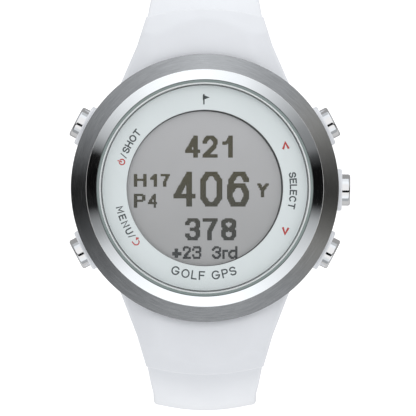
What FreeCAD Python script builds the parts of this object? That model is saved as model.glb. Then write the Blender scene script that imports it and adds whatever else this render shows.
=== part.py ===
"""Golf GPS wristwatch: a round watch with a steel bezel, five push buttons and a two-piece resin strap.

Millimetres. The case back lies in the plane z = 0 with its centre at the origin, +Z points out
through the dial, +Y to 12 o'clock and +X to 3 o'clock. The strap halves hang below the case.
"""

import FreeCAD, Part
import math
import os

from FreeCAD import Placement, Rotation, Vector

# ---- Case stack: radii, then heights
BEZEL_R = 23.0
BEZEL_RIDGE_R = 20.36
BEZEL_INNER_R = 18.62
CASE_R = 22.0
CAVITY_R = 17.3
CRYSTAL_R = 18.15
GASKET_R = (17.85, 18.6)
DIAL_RING_R = 17.7
DIAL_OPENING_R = 13.42
CASE_BACK_R = 20.4
CASE_FOOT_R = 20.9
BACK_GASKET_R = (17.4, 18.0)
BOARD_R = 15.8

CASE_BACK_TOP_Z = 1.5
CASE_FOOT_Z = 3.5
CASE_BOTTOM_Z = 0.5
CASE_TOP_Z = 11.3
DIAL_SEAT_Z = 10.5
GASKET_SEAT_Z = 10.9
CRYSTAL_Z = (11.25, 12.9)
CRYSTAL_CHAMFER = 0.25
DIAL_RING_Z = (10.5, 11.2)
LCD_Z = (8.9, 10.2)
BOARD_Z = (7.6, 8.4)
BEZEL_EDGE_Z = 12.2
BEZEL_RIDGE_Z = 14.0
BEZEL_INNER_Z = 12.95
BEZEL_SKIRT_R = (19.4, 20.2)
BEZEL_SKIRT_Z = 10.2
BEZEL_CHAMFER = 0.3

# ---- Display, board and case back
LCD_SIDE = 27.0
LCD_CORNER_R = 16.4
BOARD_SCREW_POINTS = [(x, y, 0) for x in (-5.1, 5.1) for y in (-14.0, 14.0)]
BOARD_SCREW_R = 0.45
BOARD_SCREW_HEAD = (0.9, 0.6)
ANTENNA_Y = (14.2, 16.6)
ANTENNA_HALF_WIDTH = 4.0
ANTENNA_HEIGHT = 1.8
BATTERY_X = 11.0
BATTERY_Y = (-12.0, 7.0)
BATTERY_Z = (1.8, 5.8)
MOTOR_CENTRE = (-4.6, 11.8, 0)
MOTOR_R = 4.0
MOTOR_Z = (4.1, 6.5)
SCREW_ANGLES = (45, 135, 225, 315)
CASE_SCREW_CIRCLE_R = 19.2
CASE_SCREW_R = 0.6
CASE_SCREW_HEAD_R = 1.05
CASE_SCREW_HEAD_TOP_Z = 0.7
SCREW_RECESS = 0.05
CONTACT_BLOCK_Y = -10.5
CONTACT_BLOCK_HALF_SIZE = (6.4, 1.6)
CONTACT_X = (-4.5, -1.5, 1.5, 4.5)
CONTACT_R = 0.75

# ---- Buttons: angles anticlockwise from 3 o'clock, distances along each button's own axis
BUTTON_ANGLES = {"power": 152.5, "menu": 207.5, "up": 27.5, "select": -0.8, "down": -27.5}
BUTTON_Z = 6.7
BUTTON_HEAD_R = 2.7
BUTTON_FACE = 25.0
BUTTON_BACK = 22.2
BUTTON_CHAMFER = 0.3
BUTTON_TRAVEL = 0.8
STEM_R = 1.0
STEM_END = 16.75
HEAD_BORE_R = 2.9
HEAD_BORE_FLOOR = 21.0
GUARD_R = 3.6
GUARD_FACE = 23.6
SLEEVE_R = 1.6
SEAL_WIRE_R = 0.155
SEAL_GLAND_R = 1.36
SEAL_GLAND_START = 20.2
CLIP_SPAN = (16.9, 17.25)
CLIP_BORE_R = 0.75
CLIP_R = 1.45
CLIP_GAP = 1.1
SWITCH_SPAN = (14.2, 15.5)
SWITCH_HALF_WIDTH = 1.8
SWITCH_PLUNGER_R = 0.6
SWITCH_GAP = 0.05
RUNNING_CLEARANCE = 0.05
SPRING_POCKET_R = (1.3, 2.1)
SPRING_POCKET_END = 23.4
SPRING_WIRE_R = 0.12
SPRING_MEAN_R = 1.65
SPRING_TURNS = 4

# ---- Strap: u is the distance from the case centre towards 12 or 6 o'clock
STRAP_PIN_U = 24.0
STRAP_PIN_Z = 8.0
SPRING_BAR_R = 0.75
SPRING_BAR_TIP_R = 0.45
SPRING_BAR_HALF_LENGTHS = (7.35, 8.8)
EAR_X = (7.5, 9.5)
EAR_R = 1.7
EAR_ROOM = 0.3
STRAP_THICK = 2.6
STRAP_HALF_WIDTH = 8.9
STRAP_NECK_HALF_WIDTH = 10.2
STRAP_HEADING = -38.0
STRAP_VERTICAL_U = 37.3
NECK_END_U = 36.8
STRAP_ROOT_Z = 5.0
STRAP_LEAD = 2.4
SHOULDER_REACH = {"upper": 30.8, "lower": 32.1}
SHOULDER_KINK = {"upper": 24.5, "lower": 25.4}
SHOULDER_HALF_WIDTHS = (14.9, 11.65, 10.1)
SHOULDER_TOP_Z = 10.8
SHOULDER_END_Z = 7.6
SHOULDER_END_ARC_RISE = 1.4
UPPER_BEND_R = 18.0
UPPER_END_Y = -1.0
LOWER_BEND_R = 34.6
LOWER_DROP = 6.0
LOWER_TIP_Y = 34.0
FIRST_HOLE = 16.0
HOLE_COUNT = 9
HOLE_PITCH = 6.5
HOLE_R = 1.1

# ---- Buckle and keepers, on the free end of the upper half
BUCKLE_PIN_OFFSET = 1.5
BUCKLE_PIN_R = 0.75
BUCKLE_PIN_HALF_LENGTH = 10.35
BUCKLE_ARM_X = (9.25, 11.2)
BUCKLE_LENGTH = 12.0
BUCKLE_TOP = 1.4
BUCKLE_BAR = 2.2
BUCKLE_THICK = 2.2
BARREL_R = 1.7
TONGUE_EYE_R = 1.45
TONGUE_HALF_WIDTH = 1.1
TONGUE_OVERHANG = 0.4
KEEPER_WALL = 1.2
KEEPER_ROOM = 2.9
FIXED_KEEPER_Y = (4.0, 8.0)
FREE_KEEPER_Y = (9.6, 13.2)

X_AXIS = Vector(1, 0, 0)
Z_AXIS = Vector(0, 0, 1)
ORIGIN = Vector(0, 0, 0)


# ---- Small builders shared by every piece


def disc(radius, low, high):
    return Part.makeCylinder(radius, high - low, Vector(0, 0, low))


def ring(inner, outer, low, high):
    return disc(outer, low, high).cut(disc(inner, low - 1, high + 1))


def lathe(profile):
    """Turns (radius, z) corners about the Z axis."""
    corners = [Vector(r, 0, z) for r, z in profile]
    face = Part.Face(Part.makePolygon(corners + corners[:1]))
    return face.revolve(ORIGIN, Z_AXIS, 360)


def box(low, high):
    size = Vector(*high) - Vector(*low)
    return Part.makeBox(size.x, size.y, size.z, Vector(*low))


def rod_x(radius, x_low, x_high, y, z):
    return Part.makeCylinder(radius, x_high - x_low, Vector(x_low, y, z), X_AXIS)


def edges_along_y(shape):
    return [edge for edge in shape.Edges if abs(edge.tangentAt(0).y) > 0.9]


def spoke(radius, start, end):
    """A rod along +X at the buttons' height, ready to be turned to a button's angle."""
    return Part.makeCylinder(radius, end - start, Vector(start, 0, BUTTON_Z), X_AXIS)


def turned(shape, degrees):
    copy = shape.copy()
    copy.rotate(ORIGIN, Z_AXIS, degrees)
    return copy


def at_points(shape, points):
    """One group of separate copies of a solid, each moved to a point."""
    copies = []
    for point in points:
        copy = shape.copy()
        copy.translate(Vector(*point))
        copies.append(copy)
    return Part.makeCompound(copies)


def on_circle(radius, degrees):
    angle = math.radians(degrees)
    return (radius * math.cos(angle), radius * math.sin(angle), 0)


def at_buttons(shape):
    return Part.makeCompound([turned(shape, a) for a in BUTTON_ANGLES.values()])


def facing_six(shape):
    """The same solid at 6 o'clock."""
    return turned(shape, 180)


# ---- Case, bezel, crystal and display


def lug_ears():
    """Two ears at 12 o'clock that hold the tips of a spring bar."""
    ears = []
    bore_r = SPRING_BAR_TIP_R + RUNNING_CLEARANCE
    bore_x = (EAR_X[0] - 0.1, SPRING_BAR_HALF_LENGTHS[1] + 0.1)
    for side in (-1, 1):
        low, high = sorted((side * EAR_X[0], side * EAR_X[1]))
        eye = rod_x(EAR_R, low, high, STRAP_PIN_U, STRAP_PIN_Z)
        neck = box((low, 19.6, 5.0), (high, STRAP_PIN_U, STRAP_PIN_Z + 0.8))
        root = rod_x(0.5, low, high, STRAP_PIN_U - 0.6, 5.9)
        corner = box((low, STRAP_PIN_U - 0.9, 4.9), (high, STRAP_PIN_U + 0.1, 6.2))
        neck = neck.cut(corner).fuse(root)
        bore_low, bore_high = sorted((side * bore_x[0], side * bore_x[1]))
        tip_bore = rod_x(bore_r, bore_low, bore_high, STRAP_PIN_U, STRAP_PIN_Z)
        ears.append(eye.fuse(neck).cut(tip_bore))
    return ears


def mid_case():
    """The turned resin body with its ears, button guards and bores."""
    groove_in, groove_out = BEZEL_SKIRT_R[0] - 0.02, BEZEL_SKIRT_R[1] + 0.02
    groove_floor = BEZEL_SKIRT_Z - 0.05
    body = lathe(
        [
            (CAVITY_R, CASE_BACK_TOP_Z),
            (CASE_BACK_R + 0.05, CASE_BACK_TOP_Z),
            (CASE_BACK_R + 0.05, CASE_BOTTOM_Z),
            (CASE_FOOT_R, CASE_BOTTOM_Z),
            (CASE_R, CASE_FOOT_Z),
            (CASE_R, CASE_TOP_Z),
            (groove_out, CASE_TOP_Z),
            (groove_out, groove_floor),
            (groove_in, groove_floor),
            (groove_in, CASE_TOP_Z),
            (GASKET_R[1] + 0.05, CASE_TOP_Z),
            (GASKET_R[1] + 0.05, GASKET_SEAT_Z),
            (DIAL_RING_R + 0.05, GASKET_SEAT_Z),
            (DIAL_RING_R + 0.05, DIAL_SEAT_Z),
            (CAVITY_R, DIAL_SEAT_Z),
        ]
    )
    for ear in lug_ears():
        body = body.fuse(ear).fuse(facing_six(ear))
    for angle in BUTTON_ANGLES.values():
        body = body.fuse(turned(spoke(GUARD_R, 20.5, GUARD_FACE), angle))
        body = body.cut(turned(spoke(SLEEVE_R, CAVITY_R - 1, HEAD_BORE_FLOOR), angle))
        body = body.cut(turned(spoke(HEAD_BORE_R, HEAD_BORE_FLOOR, BEZEL_R + 1), angle))
    for angle in SCREW_ANGLES:
        bore = disc(CASE_SCREW_R, 1, 5)
        bore.translate(Vector(*on_circle(CASE_SCREW_CIRCLE_R, angle)))
        body = body.cut(bore)
    return body.removeSplitter()


def bezel_ring():
    """A steel ring: outer slope up to a ridge, then an inner bevel down to the crystal."""
    return lathe(
        [
            (BEZEL_INNER_R, CASE_TOP_Z),
            (BEZEL_SKIRT_R[0], CASE_TOP_Z),
            (BEZEL_SKIRT_R[0], BEZEL_SKIRT_Z),
            (BEZEL_SKIRT_R[1], BEZEL_SKIRT_Z),
            (BEZEL_SKIRT_R[1], CASE_TOP_Z),
            (BEZEL_R - BEZEL_CHAMFER, CASE_TOP_Z),
            (BEZEL_R, CASE_TOP_Z + BEZEL_CHAMFER),
            (BEZEL_R, BEZEL_EDGE_Z),
            (BEZEL_RIDGE_R, BEZEL_RIDGE_Z),
            (BEZEL_INNER_R, BEZEL_INNER_Z),
        ]
    )


def bezel_gasket():
    """An L-section seal round the crystal's edge and under its rim."""
    inner, outer = GASKET_R
    top = BEZEL_INNER_Z - 0.1
    return lathe(
        [
            (inner, GASKET_SEAT_Z),
            (outer, GASKET_SEAT_Z),
            (outer, top),
            (CRYSTAL_R, top),
            (CRYSTAL_R, CRYSTAL_Z[0]),
            (inner, CRYSTAL_Z[0]),
        ]
    )


def crystal():
    low, high = CRYSTAL_Z
    return lathe(
        [
            (0, low),
            (CRYSTAL_R, low),
            (CRYSTAL_R, high - CRYSTAL_CHAMFER),
            (CRYSTAL_R - CRYSTAL_CHAMFER, high),
            (0, high),
        ]
    )


def dial_ring():
    return ring(DIAL_OPENING_R, DIAL_RING_R, *DIAL_RING_Z)


def lcd_outline(extra, low, high):
    """A square display whose corners are rounded to the case."""
    half = LCD_SIDE / 2 + extra
    return box((-half, -half, low), (half, half, high)).common(disc(LCD_CORNER_R + extra, low, high))


def lcd_module():
    return lcd_outline(0, *LCD_Z)


def lcd_frame():
    """The moulded frame that holds the display over the board and carries the dial ring."""
    low, high = BOARD_Z[1] + 0.05, DIAL_SEAT_Z - 0.05
    frame = disc(CAVITY_R - 0.1, low, high)
    frame = frame.cut(lcd_outline(0.1, LCD_Z[0] - 0.02, high + 1))
    frame = frame.cut(disc(12.0, low - 1, high))
    x, (y_low, y_high) = ANTENNA_HALF_WIDTH + 0.2, ANTENNA_Y
    frame = frame.cut(box((-x, y_low - 0.2, low - 1), (x, y_high + 2, high + 1)))
    return frame.cut(at_points(disc(BOARD_SCREW_R, low - 1, high - 0.5), BOARD_SCREW_POINTS))


def main_board():
    """The circuit board with its chips, display connector and battery socket."""
    board = disc(BOARD_R, *BOARD_Z)
    chips = [
        box((-6.5, -6.0, 6.6), (0.5, 1.0, BOARD_Z[0])),
        box((3.0, -9.5, 6.4), (9.0, -4.5, BOARD_Z[0])),
        box((2.5, 1.5, 6.8), (6.0, 4.5, BOARD_Z[0])),
        box((-9.0, -12.5, 6.3), (-5.0, -9.5, BOARD_Z[0])),
    ]
    for chip in chips:
        board = board.fuse(chip)
    return board.cut(at_points(disc(BOARD_SCREW_R + 0.1, 7, 9), BOARD_SCREW_POINTS))


def gps_antenna():
    x, (y_low, y_high) = ANTENNA_HALF_WIDTH, ANTENNA_Y
    return box((-x, y_low, BOARD_Z[1]), (x, y_high, BOARD_Z[1] + ANTENNA_HEIGHT))


def board_screws():
    head_r, head_height = BOARD_SCREW_HEAD
    head_low = BOARD_Z[0] - head_height
    screw = disc(head_r, head_low, BOARD_Z[0]).fuse(disc(BOARD_SCREW_R, BOARD_Z[0] - 0.1, 9.8))
    slot = box((-0.7, -0.12, head_low - 1), (0.7, 0.12, head_low + 0.25))
    return at_points(screw.cut(slot), BOARD_SCREW_POINTS)


def battery():
    """A lithium pouch cell with its folded seal at one end."""
    cell = box((-BATTERY_X, BATTERY_Y[0], BATTERY_Z[0]), (BATTERY_X, BATTERY_Y[1], BATTERY_Z[1]))
    cell = cell.makeFillet(0.8, edges_along_y(cell))
    seal_x = BATTERY_X - 2
    seal_z = BATTERY_Z[0] + 0.6
    seal = box((-seal_x, BATTERY_Y[0] - 1.2, seal_z), (seal_x, BATTERY_Y[0], seal_z + 1))
    return cell.fuse(seal)


def vibration_motor():
    """A coin motor with a boss below and a tab for its leads."""
    low, high = MOTOR_Z
    coin = disc(MOTOR_R, low, high).fuse(disc(1.0, low - 0.2, low + 0.1))
    lead_tab = box((MOTOR_R - 0.4, -1.0, high - 1.1), (MOTOR_R + 1.4, 1.0, high - 0.2))
    return at_points(coin.fuse(lead_tab), [MOTOR_CENTRE])


# ---- Case back and what it carries


def contact_block_outline(extra, low, high):
    """A slot shape with round ends, grown by an extra all round."""
    half_x, half_y = (size + extra for size in CONTACT_BLOCK_HALF_SIZE)
    middle = box(
        (-half_x + half_y, CONTACT_BLOCK_Y - half_y, low),
        (half_x - half_y, CONTACT_BLOCK_Y + half_y, high),
    )
    for side in (-1, 1):
        end = disc(half_y, low, high)
        end.translate(Vector(side * (half_x - half_y), CONTACT_BLOCK_Y, 0))
        middle = middle.fuse(end)
    return middle.removeSplitter()


def case_back():
    plate = lathe(
        [
            (0, 0),
            (CASE_BACK_R - 0.4, 0),
            (CASE_BACK_R, 0.4),
            (CASE_BACK_R, CASE_BACK_TOP_Z),
            (0, CASE_BACK_TOP_Z),
        ]
    )
    plate = plate.cut(ring(*BACK_GASKET_R, CASE_BACK_TOP_Z - 0.45, CASE_BACK_TOP_Z + 1))
    plate = plate.cut(contact_block_outline(0.03, -1, CASE_BACK_TOP_Z + 1))
    for angle in SCREW_ANGLES:
        pocket = disc(CASE_SCREW_HEAD_R + 0.1, -1, CASE_SCREW_HEAD_TOP_Z)
        pocket = pocket.fuse(disc(CASE_SCREW_R + 0.05, 0.5, 2))
        pocket.translate(Vector(*on_circle(CASE_SCREW_CIRCLE_R, angle)))
        plate = plate.cut(pocket)
    return plate


def case_back_gasket():
    inner, outer = BACK_GASKET_R
    return ring(inner + 0.05, outer - 0.05, CASE_BACK_TOP_Z - 0.44, CASE_BACK_TOP_Z)


def case_back_screws():
    """Four screws whose heads sit just below the back's surface."""
    head = disc(CASE_SCREW_HEAD_R, SCREW_RECESS, CASE_SCREW_HEAD_TOP_Z)
    screw = head.fuse(disc(CASE_SCREW_R, 0.6, 4.6))
    slot = box((-0.7, -0.14, -1), (0.7, 0.14, 0.4))
    for angle in (0, 90):
        screw = screw.cut(turned(slot, angle))
    return at_points(screw, [on_circle(CASE_SCREW_CIRCLE_R, a) for a in SCREW_ANGLES])


def charge_contact_block():
    block = contact_block_outline(0, SCREW_RECESS, CASE_BACK_TOP_Z)
    for x in CONTACT_X:
        hole = disc(CONTACT_R, -1, 3)
        hole.translate(Vector(x, CONTACT_BLOCK_Y, 0))
        block = block.cut(hole)
    return block


def charge_contacts():
    pin = disc(CONTACT_R, 2 * SCREW_RECESS, CASE_BACK_TOP_Z)
    return at_points(pin, [(x, CONTACT_BLOCK_Y, 0) for x in CONTACT_X])


# ---- Buttons


def button_cap():
    """A round cap with a chamfered face, a pocket behind it for its spring, and a stem."""
    cap = spoke(BUTTON_HEAD_R, BUTTON_BACK, BUTTON_FACE - BUTTON_CHAMFER)
    bevel = Part.makeCone(
        BUTTON_HEAD_R,
        BUTTON_HEAD_R - BUTTON_CHAMFER,
        BUTTON_CHAMFER,
        Vector(BUTTON_FACE - BUTTON_CHAMFER, 0, BUTTON_Z),
        X_AXIS,
    )
    pocket = spoke(SPRING_POCKET_R[1], BUTTON_BACK - 1, SPRING_POCKET_END)
    pocket = pocket.cut(spoke(SPRING_POCKET_R[0], BUTTON_BACK - 1, SPRING_POCKET_END))
    stem = spoke(STEM_R, STEM_END, BUTTON_BACK + 1)
    clip_groove = spoke(STEM_R + 1, *CLIP_SPAN).cut(spoke(CLIP_BORE_R, *CLIP_SPAN))
    return cap.fuse(bevel).cut(pocket).fuse(stem).cut(clip_groove).removeSplitter()


def button_clip():
    """The open ring on the stem's inner end that keeps the button in."""
    start, end = CLIP_SPAN
    clip = spoke(CLIP_R, start, end).cut(spoke(CLIP_BORE_R, start - 1, end + 1))
    gap = box((start - 1, -CLIP_GAP / 2, BUTTON_Z - 3), (end + 1, CLIP_GAP / 2, BUTTON_Z))
    return clip.cut(gap)


def button_spring():
    """A coil of four turns between the case and the back of the cap."""
    margin = SPRING_WIRE_R + 0.03
    start = HEAD_BORE_FLOOR + margin
    length = SPRING_POCKET_END - margin - start
    helix = Part.makeLongHelix(length / SPRING_TURNS, length, SPRING_MEAN_R)
    section = Part.Wire(Part.makeCircle(SPRING_WIRE_R, Vector(SPRING_MEAN_R, 0, 0), Vector(0, 1, 0)))
    coil = Part.Wire(helix).makePipeShell([section], True, True)
    coil.Placement = Placement(Vector(start, 0, BUTTON_Z), Rotation(Vector(0, 1, 0), 90))
    return coil


def button_sleeves():
    """Five steel sleeves pressed into the case, each with a gland for its seal."""
    sleeve = spoke(SLEEVE_R, CAVITY_R, HEAD_BORE_FLOOR)
    sleeve = sleeve.cut(spoke(STEM_R + RUNNING_CLEARANCE, CAVITY_R - 1, HEAD_BORE_FLOOR + 1))
    sleeve = sleeve.cut(spoke(SEAL_GLAND_R, SEAL_GLAND_START, HEAD_BORE_FLOOR + 1))
    return at_buttons(sleeve)


def button_seals():
    centre_r = STEM_R + 0.02 + SEAL_WIRE_R
    seal = Part.makeTorus(centre_r, SEAL_WIRE_R, Vector(SEAL_GLAND_START + 0.4, 0, BUTTON_Z), X_AXIS)
    return at_buttons(seal)


def tactile_switches():
    """Side-acting switches under the board, one facing each stem."""
    back, face = SWITCH_SPAN
    low = (back, -SWITCH_HALF_WIDTH, BOARD_Z[0] - 2 * (BOARD_Z[0] - BUTTON_Z))
    body = box(low, (face, SWITCH_HALF_WIDTH, BOARD_Z[0]))
    plunger_end = STEM_END - BUTTON_TRAVEL - SWITCH_GAP
    plunger = spoke(SWITCH_PLUNGER_R, face - 0.2, plunger_end)
    return at_buttons(body.fuse(plunger))


# ---- Strap halves


def straight_on(state, length):
    """The state (u, z, heading) that is a length further along a straight run."""
    u, z, heading = state
    return (u + length * math.cos(heading), z + length * math.sin(heading), heading)


def round_bend(state, radius, turn):
    """The state after a bend to the right through a turn in radians."""
    u, z, heading = state
    after = heading - turn
    u += radius * (math.sin(heading) - math.sin(after))
    z -= radius * (math.cos(heading) - math.cos(after))
    return (u, z, after)


def follow(state, moves):
    """Walks a path of ("run", length) and ("bend", radius, degrees) moves.

    Gives each piece as its first state, its last state and its bend radius, which is None in a run.
    """
    pieces = []
    for kind, size, *degrees in moves:
        if kind == "run":
            after, radius = straight_on(state, size), None
        else:
            after, radius = round_bend(state, size, math.radians(degrees[0])), size
        pieces.append((state, after, radius))
        state = after
    return pieces


def beside(state, distance):
    """A point at a distance to the left of a state on the path, which is the strap's outer side."""
    u, z, heading = state
    return Vector(0, u - distance * math.sin(heading), z + distance * math.cos(heading))


def band(pieces, thickness, half_width):
    """A strip of constant thickness and width along a path."""
    outer, inner = [], []
    for begin, end, radius in pieces:
        for edges, distance in ((outer, thickness / 2), (inner, -thickness / 2)):
            ends = beside(begin, distance), beside(end, distance)
            if radius is None:
                edges.append(Part.LineSegment(*ends).toShape())
            else:
                middle = round_bend(begin, radius, (begin[2] - end[2]) / 2)
                edges.append(Part.Arc(ends[0], beside(middle, distance), ends[1]).toShape())
    first, last = pieces[0][0], pieces[-1][1]
    caps = [
        Part.makeLine(beside(state, thickness / 2), beside(state, -thickness / 2))
        for state in (first, last)
    ]
    wire = Part.Wire(Part.__sortEdges__(outer + inner + caps))
    strip = Part.Face(wire).extrude(Vector(2 * half_width, 0, 0))
    strip.translate(Vector(-half_width, 0, 0))
    return strip


def prism_x(corners, half_width):
    """Extrudes (u, z) corners both ways along X."""
    points = [Vector(-half_width, u, z) for u, z in corners]
    face = Part.Face(Part.makePolygon(points + points[:1]))
    return face.extrude(Vector(2 * half_width, 0, 0))


def prism_y(corners, low, high):
    points = [Vector(x, low, z) for x, z in corners]
    face = Part.Face(Part.makePolygon(points + points[:1]))
    return face.extrude(Vector(0, high - low, 0))


def shoulder_plan(reach, kink):
    """The shoulder's outline from above: flared at the bezel, with an arched outer end."""
    at_bezel, at_kink, at_end = SHOULDER_HALF_WIDTHS
    corner_u = reach - SHOULDER_END_ARC_RISE
    right = [Vector(at_bezel, 17.0, 0), Vector(at_kink, kink, 0), Vector(at_end, corner_u, 0)]
    left = [Vector(-p.x, p.y, 0) for p in reversed(right)]
    edges = [Part.LineSegment(a, b).toShape() for a, b in zip(right, right[1:])]
    edges.append(Part.Arc(right[-1], Vector(0, reach, 0), left[0]).toShape())
    edges += [Part.LineSegment(a, b).toShape() for a, b in zip(left, left[1:])]
    edges.append(Part.LineSegment(left[-1], right[0]).toShape())
    return Part.Face(Part.Wire(edges)).extrude(Vector(0, 0, 16))


def shoulder(reach, kink):
    """The thick end of a strap half, which meets the case under the bezel's edge."""
    profile = [
        (16.0, SHOULDER_TOP_Z),
        (23.5, SHOULDER_TOP_Z),
        (reach - 3.6, 10.0),
        (reach - 1.2, 8.9),
        (reach, SHOULDER_END_Z),
        (reach, STRAP_ROOT_Z + 1.0),
        (reach - 1.8, STRAP_ROOT_Z - 1.2),
        (24.8, 4.4),
        (16.0, 4.4),
    ]
    roof = [(-15.4, 3), (-15.4, 9.2), (-8.4, 10.9), (8.4, 10.9), (15.4, 9.2), (15.4, 3)]
    clear_of_case = lathe([(0, 0), (24.7, 0), (22.6, 8.5), (22.6, 13), (0, 13)])
    body = prism_x(profile, 16).common(shoulder_plan(reach, kink))
    return body.common(prism_y(roof, 15, 35)).cut(clear_of_case)


def ear_slots():
    """Room for the case's ears, open below and towards the case but covered on top."""
    slots = []
    for side in (-1, 1):
        low, high = sorted((side * (EAR_X[0] - EAR_ROOM), side * (EAR_X[1] + EAR_ROOM)))
        round_part = rod_x(EAR_R + EAR_ROOM, low, high, STRAP_PIN_U, STRAP_PIN_Z)
        neck_part = box((low, 15, 3), (high, STRAP_PIN_U + 0.4, STRAP_PIN_Z + EAR_R + EAR_ROOM))
        slots.append(round_part.fuse(neck_part))
    return slots


def neck_taper(start):
    """The space in which the strap narrows from its neck to its full length's width."""
    low, high = 2, 12
    corners = [
        Vector(-STRAP_NECK_HALF_WIDTH, start, low),
        Vector(STRAP_NECK_HALF_WIDTH, start, low),
        Vector(STRAP_HALF_WIDTH, NECK_END_U, low),
        Vector(-STRAP_HALF_WIDTH, NECK_END_U, low),
    ]
    return Part.Face(Part.makePolygon(corners + corners[:1])).extrude(Vector(0, 0, high - low))


def strap_root(end, path):
    """A shoulder and the strip that leaves it, with the bore for the spring bar."""
    reach = SHOULDER_REACH[end]
    neck = band(path[:2], STRAP_THICK, STRAP_NECK_HALF_WIDTH).common(neck_taper(reach - 4))
    strip = band(path, STRAP_THICK, STRAP_HALF_WIDTH)
    body = shoulder(reach, SHOULDER_KINK[end]).fuse(neck).fuse(strip)
    for slot in ear_slots():
        body = body.cut(slot)
    bore = rod_x(SPRING_BAR_R + RUNNING_CLEARANCE, -EAR_X[0], EAR_X[0], STRAP_PIN_U, STRAP_PIN_Z)
    return body.cut(bore).removeSplitter()


def strap_path(end, moves_after_vertical):
    """The centre line: out of the shoulder, bending until it points straight down, then onwards."""
    root_u = SHOULDER_REACH[end] - 0.8
    heading = math.radians(STRAP_HEADING)
    start = straight_on((root_u, STRAP_ROOT_Z, heading), -STRAP_LEAD)
    bend_r = (STRAP_VERTICAL_U - root_u) / (1 + math.sin(heading))
    first = [("run", STRAP_LEAD), ("bend", bend_r, 90 + STRAP_HEADING)]
    return follow(start, first + moves_after_vertical)


UPPER_PATH = strap_path(
    "upper",
    [
        ("bend", UPPER_BEND_R, 90),
        ("run", STRAP_VERTICAL_U - UPPER_BEND_R - UPPER_END_Y),
    ],
)
LOWER_PATH = strap_path(
    "lower",
    [
        ("run", LOWER_DROP),
        ("bend", LOWER_BEND_R, 90),
        ("run", LOWER_TIP_Y + STRAP_VERTICAL_U - LOWER_BEND_R),
    ],
)
UPPER_FLAT_Z = UPPER_PATH[-1][1][1]
BUCKLE_PIN = (UPPER_END_Y - BUCKLE_PIN_OFFSET, UPPER_FLAT_Z)


def strap_upper():
    """The short half at 12 o'clock; its free end is a barrel for the buckle's pin."""
    body = strap_root("upper", UPPER_PATH)
    y, z = BUCKLE_PIN
    barrel = rod_x(BARREL_R, -STRAP_HALF_WIDTH, STRAP_HALF_WIDTH, y, z)
    web = box(
        (-STRAP_HALF_WIDTH, y, z - STRAP_THICK / 2),
        (STRAP_HALF_WIDTH, UPPER_END_Y + 0.1, z + STRAP_THICK / 2),
    )
    tongue_slot = box((-1.5, y - 3, z - 3), (1.5, y + 3.4, z + 3))
    bore = rod_x(BUCKLE_PIN_R + RUNNING_CLEARANCE, -12, 12, y, z)
    return body.fuse(barrel).fuse(web).cut(tongue_slot).cut(bore).removeSplitter()


def hole_state(from_tip):
    """Where on the lower half's centre line a hole lies, at a distance back from the tip."""
    flat_begin, tip, _ = LOWER_PATH[-1]
    _, bend_end, bend_r = LOWER_PATH[-2]
    flat_length = flat_begin[0] - tip[0]
    if from_tip <= flat_length:
        return straight_on(tip, -from_tip)
    return round_bend(bend_end, bend_r, -(from_tip - flat_length) / bend_r)


def strap_lower():
    """The long half at 6 o'clock, with adjustment holes and a rounded tip."""
    body = strap_root("lower", LOWER_PATH)
    tip_u, tip_z, _ = LOWER_PATH[-1][1]
    tip_centre_u = tip_u + STRAP_HALF_WIDTH
    corner = box((-12, tip_u - 1, tip_z - 3), (12, tip_centre_u, tip_z + 3))
    rounding = Part.makeCylinder(STRAP_HALF_WIDTH, 8, Vector(0, tip_centre_u, tip_z - 4))
    body = body.cut(corner.cut(rounding))
    for index in range(HOLE_COUNT):
        state = hole_state(FIRST_HOLE + index * HOLE_PITCH)
        outside, inside = beside(state, 4), beside(state, -4)
        body = body.cut(Part.makeCylinder(HOLE_R, 8, inside, outside - inside))
    return facing_six(body)


def spring_bar():
    """A bar between the two ears, with thinner tips that enter them."""
    tube_x, tip_x = SPRING_BAR_HALF_LENGTHS
    tube = rod_x(SPRING_BAR_R, -tube_x, tube_x, STRAP_PIN_U, STRAP_PIN_Z)
    tips = rod_x(SPRING_BAR_TIP_R, -tip_x, tip_x, STRAP_PIN_U, STRAP_PIN_Z)
    return tube.fuse(tips)


# ---- Buckle and keepers


def buckle_frame():
    """A steel U whose arms hang from the pin, joined by a bar with a notch for the tongue."""
    y, z = BUCKLE_PIN
    inner, outer = BUCKLE_ARM_X
    half = BUCKLE_THICK / 2
    bottom = z - BUCKLE_LENGTH
    frame = box((-outer, y - half, bottom), (outer, y + half, z + BUCKLE_TOP))
    frame = frame.makeFillet(1.2, edges_along_y(frame))
    frame = frame.cut(box((-inner, y - 3, bottom + BUCKLE_BAR), (inner, y + 3, z + 3)))
    notch_x = TONGUE_HALF_WIDTH + 0.2
    notch = box((-notch_x, y + 0.35, bottom - 1), (notch_x, y + 3, bottom + 3))
    bore_x = BUCKLE_PIN_HALF_LENGTH + 0.05
    bore = rod_x(BUCKLE_PIN_R, -bore_x, bore_x, y, z)
    return frame.cut(notch).cut(bore)


def buckle_pin():
    return rod_x(BUCKLE_PIN_R, -BUCKLE_PIN_HALF_LENGTH, BUCKLE_PIN_HALF_LENGTH, *BUCKLE_PIN)


def buckle_tongue():
    """An eye round the pin and a flat blade that rests in the frame's notch."""
    y, z = BUCKLE_PIN
    eye = rod_x(TONGUE_EYE_R, -TONGUE_HALF_WIDTH, TONGUE_HALF_WIDTH, y, z)
    tip_z = z - BUCKLE_LENGTH - TONGUE_OVERHANG
    blade = prism_x(
        [(y - 0.1, z), (y + 1.3, z - 0.4), (y + 1.45, tip_z), (y + 0.65, tip_z)],
        TONGUE_HALF_WIDTH,
    )
    bore = rod_x(BUCKLE_PIN_R + RUNNING_CLEARANCE, -2, 2, y, z)
    return eye.fuse(blade).cut(bore).removeSplitter()


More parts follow.
